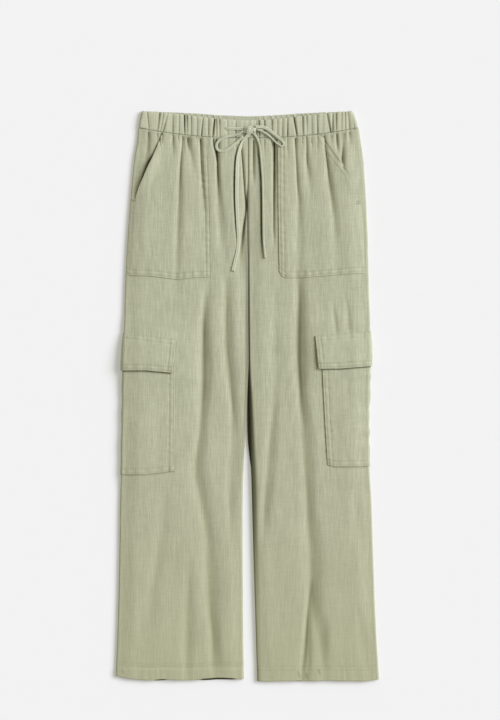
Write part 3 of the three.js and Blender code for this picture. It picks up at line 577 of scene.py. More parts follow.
def seam_gathers(x, drop):
    """Short tucks where the panel's top is gathered into the waistband, and their painted shade."""
    depth = np.zeros(np.broadcast(x, drop).shape)
    shade = depth.copy()
    below = drop - waist_seam(np.clip(np.abs(x) / 200, 0, 1))
    for number, (_, bottom, deep) in enumerate(GATHERS):
        reach = 22 + 22 * math.sin(number * 2.4) ** 2
        away = (x - bottom) / TUCK_WIDE
        here = TUCK_DEEP * deep * smooth(1 - below / reach)
        depth += here * fold_profile(away, 0.5)
        shade += here * trough_shade(fold_profile(away + SHADE_SIDE, 0.5), TUCK_WIDE)
    return depth, shade


def undulation(x, drop):
    """Slow uneven swells of cloth that was pressed by hand."""
    wave = 0.22 * np.sin(x / 9.7 + 1.7 * np.sin(drop / 83 + 0.4) + 0.6)
    wave += 0.35 * np.sin(x / 15.1 - drop / 140 + 2.1) * np.sin(drop / 61 + 1.1)
    wave += 0.12 * np.sin(x / 5.3 + drop / 210 + 1.3 * np.sin(drop / 47)) * (1 - smooth((drop - 180) / 150))
    under_cord = (1 - smooth((np.abs(x) - 38) / 20)) * (1 - smooth((drop - 290) / 30))
    return wave * smooth((drop - 40) / 60) * (1 - under_cord)


def band_creases(x, t):
    """How deep the elastic draws the waistband in, at a share of the way down it."""
    depth = np.zeros(np.broadcast(x, t).shape)
    for number, (top, bottom, deep) in enumerate(GATHERS):
        away = (x - mix(top, bottom, t)) / (1.25 + 0.5 * math.sin(number * 1.9) ** 2)
        depth += deep * (0.75 + 0.25 * np.cos(2.2 * t + number)) * fold_profile(away, 0.7)
    fine = 0.16 * np.sin(x / 1.9 + 2 * np.sin(x / 11)) + 0.12 * np.sin(x / 3.1 + t * 2.4)
    return np.minimum(CREASE_DEEP * depth, 3.6) + fine


def seam_dip(x):
    """The waist seam holds the waistband's edge and the panels' gathered tops at one level."""
    return 0.4 * band_creases(x, 1.0)


def all_dips(side, x, drop):
    """Depth and painted shade of the folds and tucks, which start from the waist seam's own level."""
    signed = SIDES[side] * x
    below = drop - waist_seam(np.clip(np.abs(x) / 200, 0, 1))
    own = np.add(fold_dips(signed, drop), seam_gathers(signed, drop))
    return mix(seam_dip(signed), own, smooth(below / 7))


# The trough shade at which the painted shade is full, and how steeply it grows
DARKEST_DIP = 5.1
HOLLOW_POWER = 1.25


def trough_painted_shade(side, x, drop):
    return smooth(all_dips(side, x, drop)[1] / DARKEST_DIP) ** HOLLOW_POWER


def inseam_shade(side, x, drop):
    """The painted shade that the other leg throws on this one's inner edge."""
    away = np.maximum(x - follow(EDGE[side, "inner"], drop) - cloth_wall(drop), 0)
    return follow(INSEAM_SHADE[side], drop) * np.exp(-((away / follow(INSEAM_REACH[side], drop)) ** 4))


def hem_shade(side, x, drop, level):
    """Painted shade along the pull of the hem's two rows of stitches, and of the pleats between them and the
    edge.
    """
    uneven = 0.7 + 0.3 * np.sin(x / 2.9 + 2 * np.sin(x / 17))
    rows = (HEM_ROW[side], HEM_ROW[side] - HEM_ROWS_APART)
    shade = 0.2 * uneven * sum(np.exp(-(((level - row) / 1.3) ** 2)) for row in rows)
    for middle, at, half in HEM_PLEATS[side]:
        away = (SIDES[side] * x - middle - 0.2 * (drop - at)) / 2.4
        shade = shade + 0.36 * np.exp(-away * away) * smooth((half - np.abs(drop - at)) / 4 + 0.5)
    return shade


# How low the front lies at its outer fold and its inner edge, as shares of its fullness
OUTER_EDGE = 0.24
INNER_EDGE = 0.6


def open_height(side, x, drop, inner_crown, outer_crown):
    """Height between the back's lining face and the front's."""
    outer_ease = mix(OUTER_EDGE, 1, smooth((outer_crown - x) / 30))
    edge_low = mix(1, INNER_EDGE, smooth((drop - 110) / 100))
    inner_ease = mix(edge_low, 1, smooth((x - inner_crown) / 22))
    signed = SIDES[side] * x
    full = follow(FULLNESS, drop) * outer_ease * inner_ease
    dips = all_dips(side, x, drop)[0] * np.minimum(outer_ease * 1.4, 1)
    left = full - dips + undulation(signed, drop) * outer_ease * inner_ease
    return BETWEEN + (left + np.sqrt(left * left + 0.4)) / 2


def crowns(side, drop):
    """Where the front starts to roll over at the inseam's fold and at the outer fold."""
    wall = cloth_wall(drop)
    inner = follow(EDGE[side, "inner"], drop) + wall + INNER_ROLL
    return inner, follow(EDGE[side, "outer"], drop) - wall - OUTER_ROLL


def station_of(side, x, drop):
    """Share of the way across the front."""
    inner, outer = crowns(side, drop)
    return (x - inner) / (outer - inner)


def share_of(station):
    """Share of the way across, on the front or underneath."""
    return np.where(station <= 1, np.clip(station, 0, 1), np.clip(3 - station, 0, 1))


def section(side, drop, station):
    """The tube's lining face. Station 0 to 1 crosses the front, 1 to 2 rolls round the outer fold,
    2 to 3 comes back underneath, and -1 to 0 rolls round the inner fold."""
    inner, outer = crowns(side, drop)
    x = mix(inner, outer, share_of(station))
    opened = open_height(side, x, drop, inner, outer)
    curl = mix(0.45, 1, smooth((drop - CROTCH_DROP + 20) / 60))
    outer_turn = np.clip(station - 1, 0, 1) * math.pi
    inner_turn = np.where(station < 0, -station, 4 - np.clip(station, 3, 4)) * math.pi
    upper = (1 + np.cos(outer_turn)) / 2
    upper = np.where(station < 0, 1 - curl * (1 - np.cos(inner_turn)) / 2, upper)
    upper = np.where(station > 3, curl * (1 + np.cos(inner_turn)) / 2, upper)
    height = cloth_wall(drop) + lift(x, drop) + opened * upper
    x = x + OUTER_ROLL * np.sin(outer_turn) * ((station > 1) & (station < 2))
    x = x - INNER_ROLL * np.sin(inner_turn) * ((station < 0) | (station > 3))
    return x, height, upper


def cloth_points(side, drop, station, away):
    """Points of the tube, moved outwards from its lining, square to the section."""
    drop, station = np.broadcast_arrays(drop, station)
    x, height, upper = section(side, drop, station)
    step = 0.003
    before = section(side, drop, station - step)
    after = section(side, drop, station + step)
    dx = after[0] - before[0]
    dz = after[1] - before[1]
    run = np.hypot(dx, dz)
    off = away(x, drop, upper)
    return place_at(SIDES[side] * (x - dz / run * off), drop, height + dx / run * off)


def add_sheet(name, points, material, thick, inwards=-1, painted_shade=None):
    """A grid of cloth points as a smooth sheet with a thickness under its face."""
    rows, columns, _ = points.shape
    number = np.arange(rows * columns).reshape(rows, columns)
    corners = [number[:-1, :-1], number[1:, :-1], number[1:, 1:], number[:-1, 1:]]
    quads = np.stack(corners, axis=-1).reshape(-1, 4)
    i, j = rows // 2, columns // 2
    if np.cross(points[i + 1, j] - points[i, j], points[i, j + 1] - points[i, j])[2] * inwards > 0:
        quads = quads[:, ::-1]
    made = add_mesh(name, points.reshape(-1, 3), quads.tolist(), material)
    if painted_shade is not None:
        set_painted_shade(made, np.broadcast_to(painted_shade, points.shape[:2]))
    shell = made.modifiers.new("thickness", "SOLIDIFY")
    shell.thickness = thick * MM
    shell.offset = -1
    return made


def declare_cloth(piece, node):
    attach(piece, "root")
    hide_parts(node)


def even(first, last, spacing):
    return np.linspace(first, last, max(int(round((last - first) / spacing)), 2) + 1)


HEM_PUCKER = 0.18


def panel_face(x, drop, upper):
    """The cloth's outer face, one wall out from the lining."""
    return cloth_wall(drop)


def front_face(x, drop, upper):
    """The hem's double cloth is puckered by its stitches."""
    pucker = np.sin(x / 2.3 + 3 * np.sin(x / 13.0)) * (0.5 + 0.5 * np.sin(x / 29 + 1))
    return cloth_wall(drop) + HEM_PUCKER * (pucker * smooth((drop - 998) / 8)) * upper


# Rows and columns of points: rows are closest in the gathers and the hem, columns towards the
# inseam, with one more near the side seam that keeps the edge crisp
HEM_FROM = 992
PANEL_TOP = WAIST_SEAM_CENTRE + SEAM_GAP / 2
FRONT_LEVELS = np.concatenate([
    even(PANEL_TOP, CROTCH_DROP, 2.6), even(CROTCH_DROP, HEM_FROM, 4)[1:], even(HEM_FROM, OUTSEAM, 1.75)[1:]])
BACK_LEVELS = np.concatenate([even(PANEL_TOP, 1011, 6), even(1011, OUTSEAM, 1.6)[1:]])
FRONT_COLUMNS = np.linspace(0, 1, 148)
FRONT_COLUMNS = FRONT_COLUMNS * (0.55 + 0.45 * FRONT_COLUMNS)
FRONT_COLUMNS = np.insert(FRONT_COLUMNS, -1, 0.9988)
INSEAM_COLUMNS = np.array([-0.47, -0.36, -0.26, -0.16, -0.07])
UNDER_COLUMNS = np.concatenate([
    np.linspace(1.08, 2, 10), np.linspace(2, 3, 36)[1:], [3.1, 3.2, 3.3, 3.4, 3.47]])
panel_cloth = slub_cloth("panel_cloth", CLOTH_COLOUR)
for side in SIDES:
    level = FRONT_LEVELS[:, None]
    seam = follow(SIDE_SEAM[side], level)
    station = np.concatenate([INSEAM_COLUMNS * np.ones_like(level), seam * FRONT_COLUMNS], axis=1)
    drop = drop_of(side, level, share_of(station), front=True)
    x = section(side, drop, station)[0]
    # Painted shade in the troughs, along the inseam and at the hem
    painted_shade = trough_painted_shade(side, x, drop) + inseam_shade(side, x, drop) + hem_shade(side, x, drop, level)
    painted_shade = np.minimum(painted_shade, 0.98)
    points = cloth_points(side, drop, station, front_face)
    panel = add_sheet(f"front_{side}", points, panel_cloth, SHEET_CLOTH, painted_shade=painted_shade)
    declare_cloth(panel, f"front_panel_{side}")

    level = BACK_LEVELS[:, None]
    seam = follow(SIDE_SEAM[side], level)
    under = UNDER_COLUMNS * np.ones_like(level)
    station = np.concatenate([seam, seam + 0.001, mix(seam, 1, 0.5), under], axis=1)
    drop = drop_of(side, level, share_of(station))
    points = cloth_points(side, drop, station, panel_face)
    shows = (side == "left") * np.maximum(follow(BACK_SHOWS, drop), 0) * smooth((station - 2.9) / 0.1)
    points[:, :, 0] -= shows
    lifted = follow(HEM_LIFT[side], share_of(station)) * (station > 2)
    # Painted shade on the back where it shows between the legs and under the front hem's lifts
    painted_shade = BACK_PAINTED_SHADE * np.maximum(smooth(shows / 1.2), smooth(lifted - 0.5) * smooth((level - 1018) / 4))
    panel = add_sheet(f"back_{side}", points, panel_cloth, SHEET_CLOTH, 1, painted_shade=painted_shade)
    declare_cloth(panel, f"back_panel_{side}")


# Stitching: matt thread a shade lighter than the cloth, in rows of stitches 3 mm apart.
# Each row pulls its line of cloth down, and the cloth beside it puckers.
STITCH_PITCH = 3.2
STITCH_HALF = (1.25, 0.34, 0.34)
ROWS_IN = (2.4, 9.4)
THREAD_COLOUR = (189, 191, 166)


def seam_relief(distance, along):
    """How far the cloth sinks at a double row of stitches and puckers beside it."""
    rows = sum(np.exp(-(((distance - row) / 1.3) ** 2)) for row in ROWS_IN)
    pucker = np.sin(along / 2.7 + 2.1 * np.sin(along / 19.0)) * np.exp(-(((distance - 6) / 6) ** 2))
    return -0.7 * rows + 0.4 * pucker


# Painted shade in the grooves of a double row of stitches
def seam_painted_shade(distance):
    return 0.17 * sum(np.exp(-(((distance - row) / 1.1) ** 2)) for row in ROWS_IN)


def stitches(points):
    """Small closed stitches along a line of points that lies on the cloth."""
    reach = np.concatenate([[0], np.cumsum(np.linalg.norm(np.diff(points, axis=0), axis=1))])
    centres = np.arange(STITCH_PITCH / 2, reach[-1], STITCH_PITCH)
    at = np.stack([np.interp(centres, reach, points[:, k]) for k in range(3)], axis=-1)
    ahead = np.stack([np.interp(centres + 0.8, reach, points[:, k]) for k in range(3)], axis=-1)
    behind = np.stack([np.interp(centres - 0.8, reach, points[:, k]) for k in range(3)], axis=-1)
    along = ahead - behind
    along /= np.linalg.norm(along, axis=1)[:, None]
    across = np.cross([0, 0, 1], along)
    across /= np.linalg.norm(across, axis=1)[:, None]
    up = np.cross(along, across)
    half, wide, high = STITCH_HALF
    corners = [at - along * half, at + along * half, at - across * wide, at + across * wide, at + up * high]
    faces = []
    for i in range(len(centres)):
        a = 5 * i
        faces += [(a, a + 2, a + 4), (a + 2, a + 1, a + 4), (a + 1, a + 3, a + 4), (a + 3, a, a + 4)]
        faces += [(a, a + 3, a + 1, a + 2)]
    return np.stack(corners, axis=1).reshape(-1, 3), faces


def add_stitching(name, rows, material):
    points = np.zeros((0, 3))
    faces = []
    for row in rows:
        more, quads = stitches(row)
        faces += [tuple(i + len(points) for i in face) for face in quads]
        points = np.concatenate([points, more])
    made = add_mesh(name, points, faces, material)
    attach(made, "root")


def line_on(side, x, drop, away):
    """A line of points on the front, moved outwards from the lining."""
    drop = np.asarray(drop, float)
    return cloth_points(side, drop, station_of(side, np.asarray(x, float), drop), away)


thread = slub_cloth("thread", THREAD_COLOUR, 0.95)
for side in SIDES:
    station = np.linspace(0.02, 0.985, 160)
    drop = drop_of(side, HEM_ROW[side], share_of(station), front=True)
    add_stitching(f"hem_stitches_{side}", [cloth_points(side, drop, station, front_face)], thread)


# Patch pockets: a shaped piece of the same cloth on each front, sewn down with two rows of stitches
# along its inner edge and bottom, and caught in the waist and side seams. The slanted edge is
# hemmed and left open as the mouth, and it stands a little away from the leg.
PATCH = {
    "right": {
        "inner": [[20, 72.5], [174.6, 66.3], [298.8, 64.4]],
        "bottom": [[64.4, 298.8], [94, 299.7], [124.7, 303.3], [175.1, 297], [226, 295.2]],
        "mouth": [[20, 143.5], [76, 167.4], [99.5, 177], [137.7, 194], [160, 202], [166, 230]],
    },
    "left": {
        "inner": [[20, 55.9], [160.2, 55.9], [232.2, 57.1], [286.2, 58.1]],
        "bottom": [[56, 280], [58.1, 286.2], [60.8, 295.2], [68, 300.2], [104, 299.7], [149, 296.1],
                   [176, 293.4], [226, 291.6]],
        "mouth": [[20, 117], [47, 134.6], [89, 164], [114.3, 183], [160, 199], [166, 230]],
    },
}
MOUTH_TOP = 40
MOUTH_BOTTOM = 158
MOUTH_SLANT = 0.9
# How far the mouth stands open and how far in from its edge, and how strongly its stitches show
MOUTH_GAPE = {"right": 5.0, "left": 1.6}
MOUTH_REACH = 11
MOUTH_ROWS = {"right": 0, "left": 0.4}
# Painted shade just outside the mouth: how dark and how far, at shares of the way down
MOUTH_PAINTED_SHADE = {
    "right": [[0, 0.7], [0.2, 0.7], [0.3, 0.6], [0.4, 1], [0.85, 1], [1, 0]],
    "left": [[0, 0.6], [0.5, 0.6], [0.7, 0.15], [1, 0]],
}
MOUTH_WIDE = {
    "right": [[0, 1.6], [0.28, 2.4], [0.42, 6.4], [0.6, 4.6], [0.8, 2.6], [1, 1.4]],
    "left": [[0, 2.2], [1, 2.2]],
}
# Painted shade on the leg beside a pocket's inner edge, which faces away from the lamp on the left leg
INNER_PAINTED_SHADE = {"right": 0.4, "left": 0.8}
# Bar tacks that hold the mouths' lower ends: [x, drop]
BAR_TACK = {"right": [200, 160], "left": [196, 165]}
BAR_TACK_LONG = 9
# How dark the side seam's line is beside the mouth
SEAM_LINE = {"right": 0, "left": 0.5}


def line(table, at):
    """Straight lines through [at, value] pairs."""
    rows = np.array(table, float)
    return np.interp(at, rows[:, 0], rows[:, 1])


def from_mouth(side, x, drop):
    """Distance inwards from the slanted edge, and the share of the way down it."""
    inwards = (line(PATCH[side]["mouth"], drop) - x) * MOUTH_SLANT
    return inwards, (drop - MOUTH_TOP) / (MOUTH_BOTTOM - MOUTH_TOP)


def shade_cloth_under(piece, side, shade):
    """Paints shade into the cloth that lies in the crevice beside an edge sewn or hanging over it."""
    mesh = bpy.data.objects[piece].data
    place = np.empty(len(mesh.vertices) * 3)
    mesh.vertices.foreach_get("co", place)
    x = place[0::3] / MM * SIDES[side]
    drop = OUTSEAM / 2 - place[1::3] / MM
    kept = mesh.attributes["painted_shade"].data
    before = np.empty(len(mesh.vertices))
    kept.foreach_get("value", before)
    kept.foreach_set("value", np.maximum(before, shade(x, drop)).astype(np.float32))


def beside(distance, reach):
    """Painted shade that fades away from an edge."""
    return np.exp(-((np.maximum(distance, 0) / reach) ** 2)) * (distance > -4)


def patch_shadow(side):
    """Painted shade inside the mouth, and along the inner edge where that faces away from the light."""
    def shade(x, drop):
        inwards, down = from_mouth(side, x, drop)
        outside = np.maximum(-inwards, 0) / follow(MOUTH_WIDE[side], down)
        beyond = (inwards < 4) * (down > 0) * (down < 1)
        mouth = follow(MOUTH_PAINTED_SHADE[side], down) * np.exp(-(outside ** 4)) * beyond
        edge = line(PATCH[side]["inner"], drop) - x
        return mouth + 0.65 * INNER_PAINTED_SHADE[side] * beside(edge, 1.3) * (drop < 290)

    return shade


def patch_away(side):
    """How far the pocket's face stands off the leg's lining."""
    shape = PATCH[side]

    def away(x, drop, upper):
        inwards, down = from_mouth(side, x, drop)
        opening = np.sin(math.pi * np.clip(down, 0, 1) ** 1.5)
        gape = MOUTH_GAPE[side] * opening * np.exp(-((inwards / MOUTH_REACH) ** 2))
        relief = seam_relief(x - line(shape["inner"], drop), drop)
        relief = relief + seam_relief(line(shape["bottom"], x) - drop, x)
        relief = relief + MOUTH_ROWS[side] * seam_relief(inwards, drop) * smooth((0.85 - down) / 0.3)
        caught = (follow(SIDE_SEAM[side], drop) - station_of(side, x, drop)) * 200 / 4
        stands = (SEAM_GAP + POCKET_CLOTH) * (1 - 0.8 * np.exp(-caught * caught))
        return cloth_wall(drop) + stands + gape + relief

    return away


for side in SIDES:
    shape = PATCH[side]
    u = np.insert(np.linspace(0, 1, 124), [1, -1], [0.002, 0.998])[None, :]
    v = np.insert(np.linspace(0, 1, 180), -1, 0.9988)[:, None]
    drop = mix(40, 298, v) * np.ones_like(u)
    for _ in range(6):
        first = station_of(side, line(shape["inner"], drop), drop)
        last = np.minimum(station_of(side, line(shape["mouth"], drop), drop), follow(SIDE_SEAM[side], drop))
        station = mix(first, last, u)
        x = section(side, drop, station)[0]
        drop = mix(waist_seam(station) + SEAM_GAP / 2, line(shape["bottom"], x), v)
    away = patch_away(side)
    points = cloth_points(side, drop, station, away)
    # Painted shade in the troughs and along the stitch rows
    painted_shade = trough_painted_shade(side, x, drop) + seam_painted_shade(x - line(shape["inner"], drop))
    painted_shade = painted_shade + seam_painted_shade(line(shape["bottom"], x) - drop)
    tack_x, tack_drop = BAR_TACK[side]
    from_seam = (follow(SIDE_SEAM[side], drop) - station) * 200
    broken = (0.6 + 0.4 * np.sin(drop / 3.7 + 2 * np.sin(drop / 17))) * smooth((166 - drop) / 14)
    painted_shade = painted_shade + SEAM_LINE[side] * broken * np.exp(-(((from_seam - 0.8) / 1.1) ** 2))
    # Painted shade along both sides of the bar tack
    tacked = np.abs(x - tack_x - BAR_TACK_LONG / 2) < BAR_TACK_LONG / 2 + 1
    painted_shade = painted_shade + 0.5 * tacked * np.exp(-(((np.abs(drop - tack_drop) - 2.2) / 1.1) ** 2))
    pocket = add_sheet(f"patch_{side}", points, panel_cloth, POCKET_CLOTH, painted_shade=painted_shade)
    declare_cloth(pocket, f"patch_pocket_{side}")
    shade_cloth_under(f"front_{side}", side, patch_shadow(side))

    down = np.linspace(56, 288, 120)
    rows = [line_on(side, line(shape["inner"], down) + off, down, away) for off in ROWS_IN]
    across = np.linspace(shape["inner"][-1][1] + 12, 214, 90)
    rows += [line_on(side, across, line(shape["bottom"], across) - off, away) for off in ROWS_IN]
    if MOUTH_ROWS[side]:
        down = np.linspace(56, 120, 50)
        rows += [line_on(side, line(shape["mouth"], down) - off * 1.1, down, away) for off in ROWS_IN]
    for x in np.arange(tack_x, tack_x + BAR_TACK_LONG, 0.9):
        rows.append(line_on(side, [x, x], [tack_drop - 1.4, tack_drop + 1.4], away))
    add_stitching(f"patch_stitches_{side}", rows, thread)


# Cargo pockets and flaps: a flat pocket sewn over each side seam, so that half of it shows, with a
# flap of doubled cloth sewn on above and hanging over its mouth. Both have two rows of stitches.
CARGO_TOP = 426
CARGO = {
    "right": {"inner": [[CARGO_TOP, 129.6], [648, 131.8]], "top": [[0, CARGO_TOP], [240, CARGO_TOP]],
              "bottom": [[131.8, 648], [181.2, 654.3], [240, 654.5]]},
    "left": {"inner": [[CARGO_TOP, 133.5], [509.4, 137.1], [575.6, 140.8], [637.2, 144.6]],
             "top": [[0, CARGO_TOP], [240, CARGO_TOP]],
             "bottom": [[144.6, 637.2], [158.8, 640.1], [202.4, 639.7], [240, 638.1]]},
}
FLAP = {
    "right": {"inner": [[411.7, 128.6], [420.3, 129.2], [471.4, 135.1]], "top": [[128.6, 411.7], [240, 397]],
              "bottom": [[135.1, 471.4], [181.2, 466.7], [240, 467]]},
    "left": {"inner": [[405, 122.5], [464, 128.6]], "top": [[122.5, 405], [240, 395.2]],
             "bottom": [[128.6, 464], [168.4, 463.5], [240, 457.5]]},
}
FLAP_FLARE = {"right": 2.8, "left": 1.8}
# How far the empty pocket's outer edge stands out or in, down its length
EDGE_WAVES = {
    "left": [[470, 0], [476, 2.6], [490, 0.2], [513, 3.0], [535, -2.2], [549, 0], [566, -2.8], [578, 1.6],
             [592, -2.4], [608, 1.0], [625, -0.6], [645, 0.5], [656, 0]],
    "right": [[470, 0], [500, 1.2], [522, -0.8], [544, 0.9], [572, -0.9], [600, 0.8], [628, -0.5], [656, 0]],
}
# Small wrinkles across the pockets: x, from, to, depth, width
POCKET_WRINKLES = {
    "left": [[181, 474, 522, 1.3, 6], [186, 545, 590, 1.0, 6], [160, 560, 632, 0.7, 8]],
    "right": [[-196, 480, 560, 0.8, 8], [-160, 540, 640, 0.7, 9]],
}


def pocket_under(x, drop):
    return layer_share(x, drop, CARGO_TOP, 656)


def edge_relief(shape, x, drop):
    return seam_relief(x - line(shape["inner"], drop), drop) + seam_relief(line(shape["bottom"], x) - drop, x)


def stitched_painted_shade(side, shape, drop, station):
    x = section(side, drop, station)[0]
    return seam_painted_shade(x - line(shape["inner"], drop)) + seam_painted_shade(line(shape["bottom"], x) - drop)


def cargo_shadow(side):
    """Painted shade beside the inner edges, and just below the pocket."""
    def shade(x, drop):
        (top, _), *_, (bottom, _) = CARGO[side]["inner"]
        pocket = beside(line(CARGO[side]["inner"], drop) - x, 1.4) * (drop > top) * (drop < bottom)
        (top, _), *_, (bottom, _) = FLAP[side]["inner"]
        flap = beside(line(FLAP[side]["inner"], drop) - x, 2.0) * (drop > top + 1) * (drop < bottom)
        foot = beside(drop - line(CARGO[side]["bottom"], x), 1.6) * (x > CARGO[side]["inner"][-1][1])
        return INNER_PAINTED_SHADE[side] * np.maximum(0.8 * pocket, flap) + 0.35 * foot

    return shade


def cargo_away(side):
    def away(x, drop, upper):
        wrinkle = 0
        for middle, start, end, deep, width in POCKET_WRINKLES[side]:
            fade = smooth((drop - start) / 16) * smooth((end - drop) / 16)
            wrinkle = wrinkle + deep * fade * np.exp(-(((SIDES[side] * x - middle) / width) ** 2))
        relief = edge_relief(CARGO[side], x, drop) * upper
        crown = crowns(side, drop)[1]
        edge = np.exp(-(((crown - np.minimum(x, crown)) / 14) ** 2))
        wave = 0.5 * follow(EDGE_WAVES[side], drop) * edge * smooth(upper * 4)
        return cloth_wall(drop) + SEAM_GAP + POCKET_CLOTH + relief + wave - 0.6 * wrinkle * upper

    return away


def flap_away(side):
    def away(x, drop, upper):
        under = (POCKET_CLOTH + SEAM_GAP) * pocket_under(x, drop)
        flare = FLAP_FLARE[side] * smooth((drop - 415) / 50) * upper
        relief = edge_relief(FLAP[side], x, drop) + seam_relief(drop - line(FLAP[side]["top"], x), x)
        return cloth_wall(drop) + SEAM_GAP + FLAP_CLOTH + under + flare + relief * upper

    return away


def wrapped_grid(side, shape, rows):
    """Rows and stations of a piece that wraps from the front round the outer fold to the back."""
    v = np.linspace(0, 1, rows)[:, None]
    drop = mix(shape["top"][0][1], shape["bottom"][0][1], v) * np.ones((1, 92))
    for _ in range(5):
        first = station_of(side, line(shape["inner"], drop[:, :1]), drop[:, :1])
        front = mix(first, 1, np.linspace(0, 1, 60)[None, :])
        fold = np.linspace(1, 2, 12)[None, 1:-1] * np.ones_like(v)
        back = mix(2, 3 - first, np.linspace(0, 1, 22)[None, :])
        station = np.concatenate([front, fold, back], axis=1)
        x = section(side, drop, station)[0]
        drop = mix(line(shape["top"], x), line(shape["bottom"], x), v)
    return drop, station


def wrapped_rows(side, shape, away, with_top):
    """Stitch rows along a wrapped piece's bottom, its inner edge and, on a flap, its top."""
    rows = []
    turns = [np.linspace(0.62, 1, 60), np.linspace(1, 2, 12)[1:], np.linspace(2, 2.38, 40)[1:]]
    station = np.concatenate(turns)
    x = section(side, line(shape["bottom"], 180) * np.ones_like(station), station)[0]
    for off in ROWS_IN:
        down = np.linspace(shape["top"][0][1] + 12, shape["bottom"][0][1] - off, 60)
        rows.append(line_on(side, line(shape["inner"], down) + off, down, away))
        rows.append(cloth_points(side, line(shape["bottom"], x) - off, station, away))
        if with_top:
            rows.append(cloth_points(side, line(shape["top"], x) + off, station, away))
    return rows


for side in SIDES:
    away = cargo_away(side)
    drop, station = wrapped_grid(side, CARGO[side], 130)
    x = section(side, drop, station)[0]
    below = drop - line(FLAP[side]["bottom"], x)
    inside = x - line(FLAP[side]["inner"], drop)
    # Painted shadow on the pocket just under the flap's bottom edge
    under_flap_painted_shade = 0.9 * np.exp(-(((below - 0.4) / 1.9) ** 2)) * smooth(inside / 3)
    painted_shade = stitched_painted_shade(side, CARGO[side], drop, station) + under_flap_painted_shade
    points = cloth_points(side, drop, station, away)
    pocket = add_sheet(f"cargo_{side}", points, panel_cloth, POCKET_CLOTH, painted_shade=painted_shade)
    declare_cloth(pocket, f"cargo_pocket_{side}")
    add_stitching(f"cargo_stitches_{side}", wrapped_rows(side, CARGO[side], away, False), thread)

    away = flap_away(side)
    drop, station = wrapped_grid(side, FLAP[side], 50)
    painted_shade = stitched_painted_shade(side, FLAP[side], drop, station)
    points = cloth_points(side, drop, station, away)
    flap = add_sheet(f"flap_{side}", points, panel_cloth, FLAP_CLOTH, painted_shade=painted_shade)
    declare_cloth(flap, f"cargo_flap_{side}")
    add_stitching(f"flap_stitches_{side}", wrapped_rows(side, FLAP[side], away, True), thread)
    shade_cloth_under(f"front_{side}", side, cargo_shadow(side))


# Waistband: a folded casing of the same cloth over wide elastic, sewn on all round. The elastic
# gathers it into upright tucks, deep and shallow, and its top edge dips at the front.
BAND_TOP_FRONT = [[0, 16.6], [0.2, 15.0], [0.4, 10.8], [0.65, 4.9], [1, 0]]
BAND_TOP_BACK = [[0, 9.5], [0.25, 7.4], [0.5, 4.0], [1, 0]]
BAND_CLOTH = 2.7
BAND_ROUND = 2.6
BAND_OPEN = 3.4
BAND_SHEET = 1.6
BAND_SWELL = [[0, 0.35], [0.05, 0.72], [0.16, 1], [0.84, 1], [0.95, 0.86], [1, 0.7]]
# Painted light: the band is the legs' own cloth, painted a little lighter for the light its puffed casing
# catches
BAND_LIT_COLOUR = (192, 194, 168)
# The creases' painted shade lies towards the lamp, and is full where they are this deep
BAND_SHADE_SIDE = 0.4
BAND_DARKEST = 2.9


def band_edge(side, drop):
    """Where the casing starts to round over at the side."""
    return follow(EDGE[side, "outer"], drop) - BAND_CLOTH - BAND_ROUND


def band_share(x):
    """Share of the way from the centre to either side."""
    side_share = [station_of(side, np.abs(x), WAIST_SEAM_CENTRE - WAIST_SEAM_RISE) for side in SIDES]
    return np.clip(np.where(x < 0, *side_share), 0, 1)


def band_part(top, turns, flat_height, sink):
    """Half of the casing: its flat face between two rounded sides."""
    t = np.linspace(0, 1, 26)[:, None]
    swell = BAND_CLOTH * follow(BAND_SWELL, t)
    sides = {}
    for side in SIDES:
        drop = mix(line(top, 1), waist_seam(1) - SEAM_GAP / 2, t)
        angle = turns[None, :] * math.pi
        x = SIDES[side] * (band_edge(side, drop) + (BAND_ROUND + swell) * np.sin(angle))
        height = BAND_CLOTH + BAND_OPEN / 2 + (BAND_OPEN / 2 + swell) * np.cos(angle)
        sides[side] = place_at(x, drop * np.ones_like(x), height)
    ends = [band_edge(side, mix(line(top, 1), waist_seam(1), t)) for side in SIDES]
    x = mix(-ends[0], ends[1], np.linspace(0, 1, 600)[None, :])
    drop = mix(follow(top, band_share(x)), waist_seam(band_share(x)) - SEAM_GAP / 2, t)
    dips = mix(band_creases(x, t), seam_dip(x), smooth((t - 0.84) / 0.16))
    dips = dips * smooth(np.minimum(x + ends[0], ends[1] - x) / 7)
    drop = drop + 0.28 * dips * (1 - t) ** 3
    flat = place_at(x, drop, flat_height(swell) + sink * dips)
    return np.concatenate([sides["right"][:, ::-1], flat, sides["left"]], axis=1)


lit_band_cloth = slub_cloth("lit_band_cloth", BAND_LIT_COLOUR)
turns = np.linspace(0.06, 0.485, 9)
face = band_part(BAND_TOP_FRONT, turns, lambda swell: BAND_CLOTH + BAND_OPEN + swell, -1)
down = np.linspace(0, 1, len(face))[:, None]
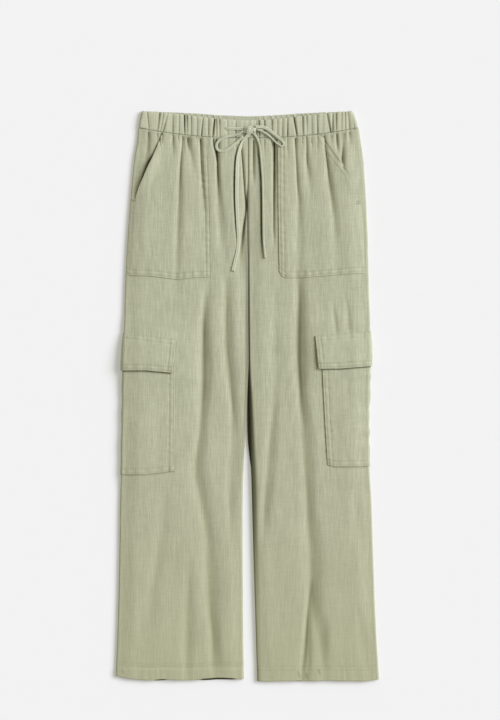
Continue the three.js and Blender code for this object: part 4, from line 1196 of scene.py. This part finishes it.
# Painted shade in the band's creases
painted_shade = smooth(band_creases(face[:, :, 0] + BAND_SHADE_SIDE, down) / BAND_DARKEST) ** HOLLOW_POWER
band = add_sheet("band_front", face, lit_band_cloth, BAND_SHEET, painted_shade=painted_shade)
declare_cloth(band, "waistband_front")
face = band_part(BAND_TOP_BACK, 1 - turns, lambda swell: 0.5 * (BAND_CLOTH - swell), 0.4)
band = add_sheet("band_back", face, lit_band_cloth, BAND_SHEET, 1)
declare_cloth(band, "waistband_back")


# Floor: the plain pale surface that the trousers lie on, with no mark and no edge in sight. A faint
# glow of its own keeps the shadows on it light.
FLOOR_COLOUR = (218, 218, 218)
FLOOR_GLOW = 0.2
FLOOR_HALF = 6000
FLOOR_LEVEL = -0.2
floor_finish = Finish("floor")
floor_finish.shader.inputs["Emission Color"].default_value = (1, 1, 1, 1)
floor_finish.shader.inputs["Emission Strength"].default_value = FLOOR_GLOW
floor_finish.shader.inputs["Base Color"].default_value = (*linear(FLOOR_COLOUR), 1)
floor_finish.shader.inputs["Roughness"].default_value = 0.9
corners = [[x * FLOOR_HALF, y * FLOOR_HALF, FLOOR_LEVEL] for x, y in [(-1, -1), (1, -1), (1, 1), (-1, 1)]]
floor = add_mesh("floor", corners, [(0, 1, 2, 3)], floor_finish.material)

# Light: a soft lamp far off at the right, a little towards the waist, and even light from all
# around, which pale walls make a little warm.
KEY_FROM = (0.76, 0.27, 0.59)
KEY_SPREAD = math.radians(35)
KEY_STRENGTH = 3.05
KEY_COLOUR = (0.986, 1.0, 1.113)
AROUND = 0.405
AROUND_COLOUR = (1.02, 1.0, 0.84)
key_data = bpy.data.lights.new("key", "SUN")
key_data.angle = KEY_SPREAD
key_data.energy = KEY_STRENGTH
key_data.color = KEY_COLOUR
key = bpy.data.objects.new("key", key_data)
key.location = KEY_FROM
key.rotation_euler = (-key.location).to_track_quat("-Z", "Y").to_euler()
bpy.context.scene.collection.objects.link(key)
world = bpy.data.worlds.new("studio")
world.use_nodes = True
world.node_tree.nodes["Background"].inputs["Strength"].default_value = AROUND
world.node_tree.nodes["Background"].inputs["Color"].default_value = (*AROUND_COLOUR, 1)
bpy.context.scene.world = world
